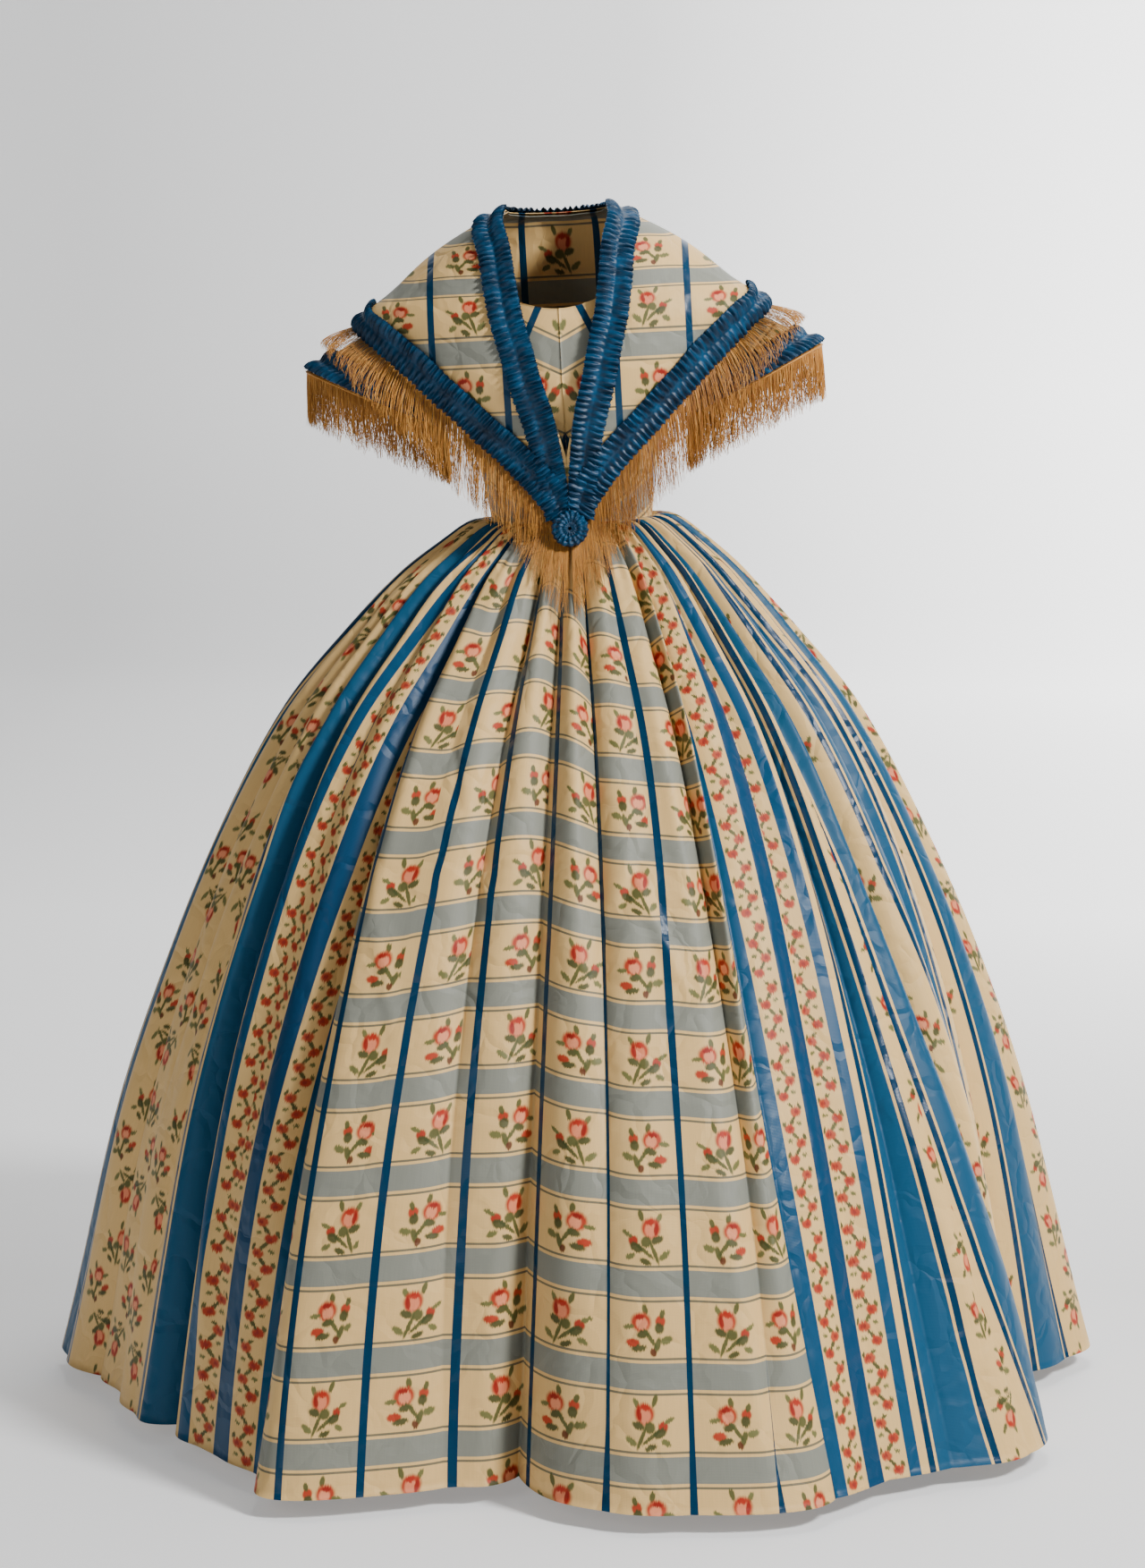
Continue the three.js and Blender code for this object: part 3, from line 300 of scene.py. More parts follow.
def skirt_points(valley, along, down):
    rings = {name: curve(ring_down, column, down) for name, column in SKIRT_RINGS.items()}
    azimuth = mix(fold_azimuth(valley, down), fold_azimuth(valley + 1, down), along)
    sunk = mix(fold_depth(valley, down), fold_depth(valley + 1, down), along)
    sunk = FOLD_DEPTH_SCALE * sunk * (1 - np.sin(np.pi * along) ** FOLD_ROUNDNESS)
    turned = (azimuth + 180) % 360 - 180
    swell = np.where((turned > -88) & (turned < 100), curve(*HEM_SWELL.values(), turned), 0)
    radius = rings["radius"] - sunk + swell * down**2 + skirt_relief(azimuth, down)
    angle = np.radians(azimuth)
    reach = np.where(np.cos(angle) > 0, rings["front"], rings["back"])
    front = np.maximum(0, np.cos(angle)) ** 2
    z = rings["z"] - rings["fall"] * front - rings["settle"] * sunk
    return np.stack([radius * np.sin(angle), -radius * reach * np.cos(angle), z], -1)


def skirt_breadth(name, first, last, fold_columns, rows, seam_at_start, cut_at_hem, drifts, material, slot):
    """One breadth between two valleys. cut_at_hem gives places round the hem from its front seam, and
    there on the cloth. Above the hem each fold keeps the threads of its crest, moved aside by its drift
    at the waist, and the cloth that is out of sight in a valley is left out."""
    down = (np.linspace(0, 1, rows) ** 1.15)[:, None]
    even = np.arange(fold_columns) / fold_columns
    spread = 0.5 * even + 0.25 * (1 - np.cos(np.pi * even))
    valley = np.repeat(np.arange(first, last), fold_columns)
    along = np.tile(spread, last - first)
    valley, along = np.append(valley, last - 1), np.append(along, 1.0)
    points = skirt_points(valley[None], along[None], down)
    across = np.linalg.norm(np.diff(points, axis=1), axis=-1)
    place = np.concatenate([np.zeros((rows, 1)), np.cumsum(across, 1)], 1)
    hem_run, hem_cut = np.transpose(cut_at_hem)
    width = place[-1, -1]
    start, end = np.empty_like(place), np.empty_like(place)
    for fold in range(last - first):
        span = slice(fold * fold_columns, (fold + 1) * fold_columns + 1)
        middle = (place[:, span.start] + place[:, span.stop - 1])[:, None] / 2
        offset = place[:, span] - middle
        crest, drift = middle[-1, 0], drifts[fold]
        if not seam_at_start:
            crest, offset, drift = width - crest, -offset, drifts[last - first - 1 - fold]
        here = np.interp(crest, hem_run, hem_cut)
        way = np.sign(np.interp(crest + 1, hem_run, hem_cut) - here)
        at_hem = np.interp(crest + offset, hem_run, hem_cut)
        threads = mix(here + way * offset + drift * (1 - down), at_hem, down**2)
        start[:, span.start:span.stop - 1] = threads[:, :-1]
        end[:, span.start + 1:span.stop] = threads[:, 1:]
    start[:, -1], end[:, 0] = end[:, -1], start[:, 0]
    fall = np.linalg.norm(np.diff(points, axis=0), axis=-1)
    up = np.cumsum(fall[::-1], 0)[::-1]
    up = np.concatenate([up, np.zeros((1, up.shape[1]))])
    # The cross bands run level from fold to fold, so each valley takes the height of the crests beside it.
    smoothed = np.stack([np.convolve(np.pad(line, 12, "edge"), np.ones(25) / 25, "valid") for line in up])
    piece = shell(
        name, points, np.stack([start, smoothed], -1), material, SKIRT_CLOTH,
        cloth_after=np.stack([end, smoothed], -1),
    )
    return piece, cloth_area(points), width


def linear(colour):
    channels = [int(colour[place:place + 2], 16) / 255 for place in (1, 3, 5)]
    return *(c / 12.92 if c < 0.04045 else ((c + 0.055) / 1.055) ** 2.4 for c in channels), 1


def new_material(name):
    material = bpy.data.materials.new(name)
    material.use_nodes = True
    material.node_tree.nodes.clear()
    return material, material.node_tree


def add_node(tree, kind, inputs, output=0, **settings):
    """Adds one node with its settings and its links, and gives back the output that is wanted."""
    node = tree.nodes.new("ShaderNode" + kind)
    for name, value in settings.items():
        setattr(node, name, value)
    for name, value in inputs.items():
        if isinstance(value, bpy.types.NodeSocket):
            tree.links.new(value, node.inputs[name])
        else:
            node.inputs[name].default_value = value
    return node.outputs[output]


def set_ramp(socket, stops, width, interpolation="CONSTANT"):
    """Lays colours across a ramp from their places on a width."""
    ramp = socket.node.color_ramp
    ramp.interpolation = interpolation
    ramp.elements.remove(ramp.elements[1])
    for number, (place, colour) in enumerate(stops):
        element = ramp.elements[0] if number == 0 else ramp.elements.new(place / width)
        element.position = place / width
        element.color = linear(colour)


def paint_sprig(tree, place, blobs, ground):
    """Paints a rose sprig in soft dabs on a ground, around a place given in millimetres."""
    for colour, x, y, half_width, half_height, turn in blobs:
        dab = add_node(tree, "Mapping", {
            "Vector": place, "Location": (x, y, 0), "Rotation": (0, 0, math.radians(turn)),
            "Scale": (1.12 * half_width, 1.12 * half_height, 1),
        }, vector_type="TEXTURE")
        reach = add_node(tree, "VectorMath", {0: dab}, output="Value", operation="LENGTH")
        cover = add_node(tree, "MapRange", {
            "Value": reach, "From Min": 1.2, "From Max": 0.85, "To Min": 0.0, "To Max": 0.95,
        })
        ground = add_node(tree, "Mix", {0: cover, 6: ground, 7: linear(colour)}, output=2, data_type="RGBA")
    return ground


def finish_silk(tree, colour, satin, cloth):
    """Taffeta: crosswise ribs drawn coarser than the real 0.3 mm, faint crumples, and smoother satin."""
    across = add_node(tree, "SeparateXYZ", {0: cloth})
    up = across.node.outputs[1]
    rib_height = add_node(tree, "Math", {0: up, 1: 4200.0}, operation="MULTIPLY")
    rib = add_node(tree, "Math", {0: rib_height}, operation="SINE")
    object_place = add_node(tree, "TexCoord", {}, output="Object")
    wander = add_node(tree, "TexNoise", {"Vector": object_place, "Scale": 10.0, "Detail": 3.0}, output=1)
    wandering = add_node(tree, "VectorMath", {0: wander, 1: (0.14, 0.14, 0.14), 2: object_place},
                         operation="MULTIPLY_ADD")
    creases = add_node(tree, "TexVoronoi", {"Vector": wandering, "Scale": 13.0}, feature="DISTANCE_TO_EDGE")
    crumple = add_node(tree, "MapRange", {"Value": creases, "From Max": 0.16})
    slub_place = add_node(tree, "Mapping", {"Vector": cloth, "Scale": (900.0, 26.0, 1.0)})
    slub = add_node(tree, "TexNoise", {"Vector": slub_place, "Scale": 1.0, "Detail": 2.0})
    low_bump = add_node(tree, "Bump", {"Height": crumple, "Strength": 0.5, "Distance": 0.0025})
    bump = add_node(tree, "Bump", {"Height": rib, "Normal": low_bump, "Strength": 0.12, "Distance": 0.0002})
    thread_tone = add_node(tree, "MapRange", {"Value": slub, "To Min": 0.9, "To Max": 1.08})
    toned = add_node(tree, "VectorMath", {0: colour, 3: thread_tone}, operation="SCALE")
    roughness = add_node(tree, "MapRange", {"Value": satin, "To Min": 0.52, "To Max": 0.3})
    surface = add_node(tree, "BsdfPrincipled", {
        "Base Color": toned, "Roughness": roughness, "Normal": bump, "IOR": 1.5, "Specular IOR Level": 0.2,
    })
    tree.links.new(surface, tree.nodes.new("ShaderNodeOutputMaterial").inputs["Surface"])


# Warp-printed silk taffeta: on cream, grey bands with a thin line at each side run across, satin blue
# stripes run lengthwise, and a rose sprig stands in each space between. The print is feathered along
# the threads because the warp was printed before it was woven.
BAND_PITCH = 0.1056
FIRST_BAND = 0.05
STRIPE_PITCH = 0.0985
STRIPE_HALF_WIDTH = 0.0046
# The dabs of each motif, painted in this order: colour, place across and up, half width and half height
# in millimetres, and turn in degrees. The sprigs are printed a little larger than they are drawn here.
SPRIG_MILLIMETRES = 880.0
SPRIG_A = (
    ("#4a4e26", 6, 23, 2.2, 5.5, -15), ("#5c5f34", -12, 20, 2.2, 5, 25), ("#a32614", -4, 10, 8.2, 9.4, 0),
    ("#d9805a", -3.5, 8, 5, 6.6, 0), ("#a32614", -3, 16, 3.4, 2.8, 0), ("#3c4220", -10, -2, 5.6, 3.4, -25),
    ("#4a4e26", 1, -4, 4.6, 5, 10), ("#4a4e26", -7, -15, 1.7, 11, -20), ("#4a4e26", 3, -13, 1.8, 11, -48),
    ("#9a1a10", 14, -3, 4.2, 4.6, 0), ("#3c4220", 11, -9.5, 6, 4, 35), ("#5c5f34", 20, 3, 5, 2, 30),
    ("#5c5f34", -17, -18, 6, 2.8, -40), ("#3c4220", 2, -24, 5.4, 2.6, 25),
    ("#5c5f34", 17, -19, 4.6, 2.6, -30), ("#8a1a10", -9, 9, 1.8, 5.5, 10),
)
SPRIG_B = (
    ("#4a4e26", -3, 21, 2.4, 4.6, 10), ("#a32614", -7, 8, 8.6, 8.6, 0), ("#dd8a62", -6, 6.5, 5, 5.6, 0),
    ("#8a1a10", -8, 13, 4, 2.2, 10), ("#a32614", 12, 9, 4.4, 4.8, 0), ("#4a4e26", 14, 16, 2.2, 4, -15),
    ("#3c4220", 11, 2, 4, 5, 0), ("#a32614", -15, -13, 6, 3.8, 0), ("#3c4220", -9, -18, 6.6, 3, 10),
    ("#5c5f34", -19, 3, 5, 2.2, 10), ("#3c4220", -5, -4, 5.6, 3.4, 15), ("#4a4e26", 2, -8, 1.8, 10, 35),
    ("#5c5f34", 18, -10, 5.4, 3.4, 20), ("#4a4e26", 9, -15, 2.6, 7, -15), ("#5a2c18", 5, -22, 2.6, 3.8, 15),
)
CREAM, DARK_SATIN = "#d6b072", "#022f4c"


def feather(tree, cloth, amount):
    """Shifts the print along its threads by a different amount for each few threads."""
    threads = add_node(tree, "Mapping", {"Vector": cloth, "Scale": (1300.0, 45.0, 1.0)})
    wander = add_node(tree, "TexNoise", {"Vector": threads, "Scale": 1.0, "Detail": 1.5})
    shift = add_node(tree, "MapRange", {"Value": wander, "From Min": 0.25, "From Max": 0.75,
                                        "To Min": -amount, "To Max": amount}, clamp=False)
    parts = add_node(tree, "SeparateXYZ", {0: cloth})
    up = add_node(tree, "Math", {0: parts.node.outputs[1], 1: shift}, operation="ADD")
    return parts, up


def repeat(tree, value, first, pitch):
    """The number of the repeat that a value lies in, and its place from that repeat's middle."""
    moved = add_node(tree, "Math", {0: value, 1: first}, operation="SUBTRACT")
    share = add_node(tree, "Math", {0: moved, 1: pitch}, operation="DIVIDE")
    number = add_node(tree, "Math", {0: share}, operation="FLOOR")
    within = add_node(tree, "Math", {0: share, 1: number}, operation="SUBTRACT")
    centred = add_node(tree, "Math", {0: within, 1: 0.5}, operation="SUBTRACT")
    return number, add_node(tree, "Math", {0: centred, 1: pitch}, operation="MULTIPLY")


printed_silk, tree = new_material("printed silk taffeta")
cloth = add_node(tree, "UVMap", {}, uv_map="cloth")
across, up = feather(tree, cloth, 0.0022)
cell_row, from_row = repeat(tree, up, FIRST_BAND, BAND_PITCH)
from_woven_row = repeat(tree, across.node.outputs[1], FIRST_BAND, BAND_PITCH)[1]
cell_column, from_column = repeat(tree, across, 0.0, STRIPE_PITCH)
row_reach = add_node(tree, "Math", {0: from_woven_row}, operation="ABSOLUTE")
band_place = add_node(tree, "Math", {0: row_reach, 1: BAND_PITCH / 2}, operation="DIVIDE")
ground = add_node(tree, "ValToRGB", {"Fac": band_place})
set_ramp(ground, (
    (0, CREAM), (31.4, "#6e6650"), (34.2, CREAM), (37.6, "#7c7d72"), (52.8, "#7c7d72"),
), 52.8)
number = add_node(tree, "Math", {0: cell_row, 1: cell_column}, operation="ADD")
parity = add_node(tree, "Math", {0: number, 1: 2.0}, operation="FLOORED_MODULO")
mirror_number = add_node(tree, "Math", {0: cell_row, 1: 4.0}, operation="FLOORED_MODULO")
mirror = add_node(tree, "Math", {0: mirror_number, 1: 1.5}, operation="GREATER_THAN")
side = add_node(tree, "MapRange", {
    "Value": mirror, "To Min": SPRIG_MILLIMETRES, "To Max": -SPRIG_MILLIMETRES,
})
sprig_across = add_node(tree, "Math", {0: from_column, 1: side}, operation="MULTIPLY")
sprig_up = add_node(tree, "Math", {0: from_row, 1: SPRIG_MILLIMETRES}, operation="MULTIPLY")
sprig_place = add_node(tree, "CombineXYZ", {0: sprig_across, 1: sprig_up})
first_sprig = paint_sprig(tree, sprig_place, SPRIG_A, ground)
second_sprig = paint_sprig(tree, sprig_place, SPRIG_B, ground)
print_colour = add_node(tree, "Mix", {0: parity, 6: first_sprig, 7: second_sprig}, output=2, data_type="RGBA")
column_reach = add_node(tree, "Math", {0: from_column}, operation="ABSOLUTE")
satin = add_node(tree, "Math", {0: column_reach, 1: STRIPE_PITCH / 2 - STRIPE_HALF_WIDTH},
                 operation="GREATER_THAN")
colour = add_node(tree, "Mix", {0: satin, 6: print_colour, 7: linear("#01304c")}, output=2, data_type="RGBA")
finish_silk(tree, colour, satin, cloth)

# The border cloth of the side and back breadths: blue stripes with rose garlands between them beside
# the front seam, then broad blue stripes edged with satin and bands of scattered rose sprays.
GARLAND_TILE = 0.076
SPRAY_TILE = 0.19
BORDER_WIDTH = 0.137
BORDER_REPEAT = 0.178
GARLAND = (
    ("#3c4220", 0, -19, 2, 6, 40), ("#4a4e26", 0, 0, 2, 6, -40), ("#3c4220", 0, 19, 2, 6, 40),
    ("#4a4e26", 0, 37, 2, 5, -40), ("#4a4e26", 12, -22, 2, 3.6, 20), ("#3c4220", -12, -3, 2, 3.6, -20),
    ("#4a4e26", 12, 15, 2, 3.6, 20), ("#3c4220", -12, 34, 2, 3, -20), ("#5c5f34", -8, -24, 3, 2, 0),
    ("#5c5f34", 8, -6, 3, 2, 0), ("#5c5f34", -8, 14, 3, 2, 0), ("#a32614", 6, -28, 6, 5, 0),
    ("#a83a22", -6, -10, 6, 5, 0), ("#a32614", 6, 9, 6, 5, 0), ("#a83a22", -6, 28, 6, 5, 0),
    ("#8a2a20", 5, -28, 2.4, 2.2, 0), ("#8a2a20", -7, -10, 2.4, 2.2, 0), ("#8a2a20", 5, 9, 2.4, 2.2, 0),
    ("#8a2a20", -7, 28, 2.4, 2.2, 0),
)
striped_silk, tree = new_material("striped silk taffeta")
cloth = add_node(tree, "UVMap", {}, uv_map="cloth")
across, up = feather(tree, cloth, 0.003)
past_border = add_node(tree, "Math", {0: across, 1: BORDER_WIDTH}, operation="SUBTRACT")
in_repeat = add_node(tree, "Math", {0: past_border, 1: BORDER_REPEAT}, operation="FLOORED_MODULO")
again = add_node(tree, "Math", {0: in_repeat, 1: BORDER_WIDTH}, operation="ADD")
beyond = add_node(tree, "Math", {0: across, 1: BORDER_WIDTH}, operation="GREATER_THAN")
stripe_place = add_node(tree, "Mix", {0: beyond, 2: across, 3: again})
whole_width = BORDER_WIDTH + BORDER_REPEAT
stripe_share = add_node(tree, "Math", {0: stripe_place, 1: whole_width}, operation="DIVIDE")
ground = add_node(tree, "ValToRGB", {"Fac": stripe_share})
# Stripes by the millimetre at which each begins; the second ramp says which of them are satin.
set_ramp(ground, (
    (0, "#0c4263"), (15, CREAM), (49.5, "#08395a"), (76.5, CREAM), (111, "#0c4263"), (126, CREAM),
    (137, DARK_SATIN), (146, CREAM), (150, "#134867"), (213, CREAM), (217, DARK_SATIN), (226, CREAM),
    (315, CREAM),
), 315)
shine = add_node(tree, "ValToRGB", {"Fac": stripe_share})
set_ramp(shine, (
    (0, "#bcbcbc"), (15, "#000000"), (49.5, "#bcbcbc"), (76.5, "#000000"), (111, "#bcbcbc"),
    (126, "#000000"), (137, "#ffffff"), (146, "#000000"), (150, "#888888"), (213, "#000000"),
    (217, "#ffffff"), (226, "#000000"), (315, "#000000"),
), 315)
from_middle = add_node(tree, "Math", {0: stripe_place, 1: 0.063}, operation="SUBTRACT")
mirrored = add_node(tree, "Math", {0: from_middle}, operation="ABSOLUTE")
garland_across = add_node(tree, "Math", {0: mirrored, 1: 0.03075}, operation="SUBTRACT")
garland_up = repeat(tree, up, 0.0, GARLAND_TILE)[1]
garland_place = add_node(tree, "CombineXYZ", {0: garland_across, 1: garland_up})
garland_place = add_node(tree, "VectorMath", {0: garland_place, 3: 1000.0}, operation="SCALE")
with_garland = paint_sprig(tree, garland_place, GARLAND, ground)
garland_reach = add_node(tree, "Math", {0: garland_across}, operation="ABSOLUTE")
on_garland = add_node(tree, "Math", {0: garland_reach, 1: 0.0165}, operation="LESS_THAN")
colour = add_node(tree, "Mix", {0: on_garland, 6: ground, 7: with_garland}, output=2, data_type="RGBA")
spray_across = add_node(tree, "Math", {0: stripe_place, 1: 0.2705}, operation="SUBTRACT")
spray_up = repeat(tree, up, 0.02, SPRAY_TILE)[1]
spray_place = add_node(tree, "CombineXYZ", {0: spray_across, 1: spray_up})
spray_place = add_node(tree, "VectorMath", {0: spray_place, 3: 1000.0}, operation="SCALE")
sprays = colour
SPRAYS = ((SPRIG_A, (-14, 60, 0), 20), (SPRIG_B, (14, 4, 0), -25), (SPRIG_A, (-12, -56, 0), 160))
for blobs, move, turn in SPRAYS:
    turned_place = add_node(tree, "Mapping", {
        "Vector": spray_place, "Location": move, "Rotation": (0, 0, math.radians(turn)),
    }, vector_type="TEXTURE")
    sprays = paint_sprig(tree, turned_place, blobs, sprays)
spray_reach = add_node(tree, "Math", {0: spray_across}, operation="ABSOLUTE")
on_spray = add_node(tree, "Math", {0: spray_reach, 1: 0.0425}, operation="LESS_THAN")
colour = add_node(tree, "Mix", {0: on_spray, 6: colour, 7: sprays}, output=2, data_type="RGBA")
finish_silk(tree, colour, shine, cloth)

# Where the stripes come at the hem: places round it from a breadth's front seam, and on the cloth. The
# border cloth turns back on itself where the flowered stripe of one side is widest.
FRONT_AT_HEM = (
    (-200, -300), (0, -92), (93, 0), (188, 98.5), (300, 197), (434, 295.5), (566, 394), (669, 492.5),
    (771, 591), (850, 682), (1050, 880),
)
RIGHT_AT_HEM = (
    (-200, -140), (0, 0), (80, 55), (130, 90), (210, 137), (250, 155), (315, 213), (335, 228), (422, 315),
    (509, 228), (596, 315), (1130, 849),
)
LEFT_AT_HEM = ((-200, -180), (0, 0), (250, 228), (1230, 1208))
BACK_AT_HEM = ((-300, -119), (1100, 1281))
# The breadths with their first and last valley, columns a fold, rows, whether the front seam comes first,
# the cloth at the hem, how far each fold's threads drift aside at the waist, and the cloth they are cut from.
BREADTHS = (
    ("skirt_front", 7, 14, 20, 170, True, FRONT_AT_HEM, (45, -25, -20, -15, -28, -28, 0), "printed"),
    ("skirt_side_left", 14, 23, 17, 150, True, LEFT_AT_HEM, (0,) * 9, "striped"),
    ("skirt_back_left", 23, 29, 14, 110, True, BACK_AT_HEM, (0,) * 6, "striped"),
    ("skirt_back_right", 29, 35, 14, 110, False, BACK_AT_HEM, (0,) * 6, "striped"),
    ("skirt_side_right", 35, 43, 17, 150, False, RIGHT_AT_HEM, (50, 20, -20, 0, 0, 0, 0, 0), "striped"),
)
for name, *layout, cut_from in BREADTHS:
    material = printed_silk if cut_from == "printed" else striped_silk
    breadth, area, width = skirt_breadth(name, *layout, material, cut_from + "_silk")
    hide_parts(name)

# ---------------------------------------------------------------- waistband
# The narrow silk band, corded along both edges, that the skirt is pleated into and the bodice ends on.
WAISTBAND_RADIUS, WAISTBAND_DEPTH = 104.5, 0.8
WAISTBAND = table(
    "z out",
    (4.0, -0.5), (3.6, 0.5), (2.9, 0.9), (2.2, 0.5), (1.9, 0.0), (0, 0.15), (-1.9, 0.0), (-2.2, 0.5),
    (-2.9, 0.9), (-3.6, 0.5), (-4.0, -0.5),
)
angle = np.linspace(0, 2 * np.pi, 240, endpoint=False)[None]
radius = WAISTBAND_RADIUS + WAISTBAND["out"][:, None] + 0.12 * np.sin(31 * angle)
height = WAISTBAND["z"][:, None] + 0 * angle
points = np.stack([radius * np.sin(angle), -radius * WAISTBAND_DEPTH * np.cos(angle), height], -1)
band_length = 2 * np.pi * WAISTBAND_RADIUS * 0.905
cloth = np.stack(np.broadcast_arrays(angle / (2 * np.pi) * band_length, height + 120), -1)
waistband = shell("waistband", points, cloth, printed_silk, 1.2, way_round=band_length)
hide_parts("waistband")

# ---------------------------------------------------------------- bodice
# A fitted bodice of the sprigged silk cut on the cross in three panels, seen in the V between the neck
# bands. The fronts meet edge to edge over hooks, and a corded edge finishes the neckline.
BODICE_CLOTH = 0.9
BODICE_FOOT = 4.3
BODICE = table(
    "z side front back",
    (4.3, 103, 84, 80), (60, 111, 94, 86), (120, 127, 115, 94), (170, 139, 130, 100), (215, 149, 131, 102),
    (260, 163, 124, 101), (297, 175, 113, 99), (315, 181, 108, 99), (331, 178, 101, 97), (359, 139, 90, 89),
    (384.5, 96, 69.5, 73.5), (399, 60, 49.5, 55.5),
)
BUST_AZIMUTH, BUST_HEIGHT, BUST_OUT = 28, 165, 10
NECKLINE_FRONT, NECKLINE_SIDE, NECKLINE_BACK_DIP, NECKLINE_CURVE = 273, 399, 6, 1.9
ARMHOLE_HEIGHT, ARMHOLE_RADIUS, ARMHOLE_FRONT, ARMHOLE_BACK, ARMHOLE_ROUNDNESS = 265, 60, 30, 26, 0.8
BIAS = math.radians(27)


def bodice_points(azimuth, z):
    side, front, back = (curve(BODICE["z"], BODICE[name], z) for name in ("side", "front", "back"))
    aside = (np.abs(azimuth) - BUST_AZIMUTH) / 20
    out = BUST_OUT * np.exp(-aside**2 - ((z - BUST_HEIGHT) / 55) ** 2)
    angle = np.radians(azimuth)
    reach = np.where(np.cos(angle) > 0, front, back)
    return np.stack([(side + out) * np.sin(angle), -(reach + out) * np.cos(angle), z + 0 * azimuth], -1)


def surface_normal(surface, first, second, step=0.4):
    along = surface(first + step, second) - surface(first - step, second)
    up = surface(first, second + step) - surface(first, second - step)
    return unit(np.cross(along, up))


def armhole_bulge(z):
    return np.sqrt(np.maximum(0, 1 - ((z - ARMHOLE_HEIGHT) / ARMHOLE_RADIUS) ** 2)) ** ARMHOLE_ROUNDNESS


def bodice_panel(name, columns, front, side):
    up = np.linspace(0, 1, 64)[:, None]
    share = np.linspace(0, 1, columns)[None]
    if front:
        top = mix(NECKLINE_FRONT, NECKLINE_SIDE, share**NECKLINE_CURVE)
        z = mix(BODICE_FOOT, top, up)
        azimuth = share * (90 - ARMHOLE_FRONT * armhole_bulge(z))
    else:
        top = NECKLINE_SIDE - NECKLINE_BACK_DIP * np.sin(np.pi * share)
        z = mix(BODICE_FOOT, top, up)
        azimuth = mix(90 + ARMHOLE_BACK * armhole_bulge(z), 270 - ARMHOLE_BACK * armhole_bulge(z), share)
    points = bodice_points(azimuth, z)
    normal = surface_normal(bodice_points, azimuth, z)
    # Drag lines run from the bust and the side seam, and the neckline's cord stands proud of the edge.
    drag = 0.5 * np.sin(z / 17 + azimuth / 9) * np.exp(-(((z - 215) / 90) ** 2))
    drag = drag + 0.35 * np.sin(z / 29 - azimuth / 6 + 1)
    cord = 0.9 * np.exp(-(((z - top + 3) / 1.8) ** 2))
    lap = 1.0 * np.exp(-((points[..., 0] / 5) ** 2)) * (1 if front and side > 0 else 0)
    points = points + normal * (drag + cord + lap)[..., None]
    if front:
        points[:, 0, 0] = 0.2
        points[..., 1] = np.minimum(points[..., 1], -0.2)
        points[..., 0] *= side
    else:
        points[..., 1] = np.maximum(points[..., 1], 0.2)
    across = np.cumsum(np.linalg.norm(np.diff(points, axis=1, prepend=points[:, :1]), axis=-1), 1)
    across = across if front else across - across[:, -1:] / 2
    turn = BIAS if front else 0
    cloth = np.stack([
        49.0 + across * math.cos(turn) + z * math.sin(turn),
        z * math.cos(turn) - across * math.sin(turn) - 246,
    ], -1)
    panel = shell(name, points, cloth, printed_silk, BODICE_CLOTH)
    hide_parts(name)


bodice_panel("bodice_front_left", 60, True, 1)
bodice_panel("bodice_front_right", 60, True, -1)
bodice_panel("bodice_back", 90, False, 1)

# ---------------------------------------------------------------- bertha
# A deep V-shaped collar of the sprigged silk lying over the bodice and the tops of the sleeves, cut in
# two fronts and a back that are seamed on the shoulders.
CAPE = table(
    "drop z side front back",
    (0, 402, 62, 52, 62), (39, 387.5, 98, 72, 80), (90, 362, 142, 93, 95), (136, 335, 180, 107, 104),
    (182, 306, 215, 119, 109), (243, 267, 262, 131, 112), (279, 232, 254, 138, 112),
    (324, 190, 238, 142, 110), (404, 122, 196, 132, 102), (467, 62, 178, 114, 92), (529, 0, 170, 110, 86),
    (556, -27, 169, 122, 86), (574, -45, 168, 131, 86),
)
BERTHA_EDGES = table(
    "station neck_turn neck_drop hem_turn hem_drop",
    (0, 0.06, 441, 0.06, 551), (1, 5.5, 351, 13, 494), (2, 9, 269, 25.5, 444), (3, 13.5, 191, 36, 406),
    (4, 22, 107, 44.5, 359), (5, 38, 50, 53, 313), (6, 60, 14, 70, 265), (7, 90, 2, 90, 243),
    (8, 120, 8, 112, 265), (9, 150, 12, 145, 342), (10, 180, 14, 180, 384),
)
SHOULDER, CENTRE_BACK, OTHER_SHOULDER = 7, 10, 13
BERTHA_CLOTH = 0.9


def cape_points(turn, drop):
    side, front, back, z = (curve(CAPE["drop"], CAPE[name], drop) for name in ("side", "front", "back", "z"))
    angle = np.radians(turn)
    reach = np.where(np.cos(angle) > 0, front, back)
    return np.stack([side * np.sin(angle), -reach * np.cos(angle), z], -1)


def cape_normal(turn, drop):
    return -surface_normal(cape_points, turn, drop)


def edge_at(edge, station):
    station = np.asarray(station, float)
    folded = np.where(station > CENTRE_BACK, 2 * CENTRE_BACK - station, station)
    turn = curve(BERTHA_EDGES["station"], BERTHA_EDGES[edge + "_turn"], folded)
    drop = curve(BERTHA_EDGES["station"], BERTHA_EDGES[edge + "_drop"], folded)
    return np.where(station > CENTRE_BACK, 360 - turn, turn), drop


def even_stations(edge, start, end, count):
    """Stations at even distances along an edge, and its length."""
    fine = np.linspace(start, end, 1200)
    steps = np.linalg.norm(np.diff(cape_points(*edge_at(edge, fine)), axis=0), axis=-1)
    run = np.append(0, np.cumsum(steps))
    return np.interp(np.linspace(0, run[-1], count), run, fine), run[-1]


def keep_front(points):
    points = points.copy()
    points[..., 0] = np.maximum(points[..., 0], 0.2)
    points[..., 1] = np.minimum(points[..., 1], -0.2)
    return points


def keep_back(points):
    points = points.copy()
    points[..., 1] = np.maximum(points[..., 1], 0.2)
    return points


def keep_front_right(points):
    return keep_front(points) * np.array([-1, 1, 1])


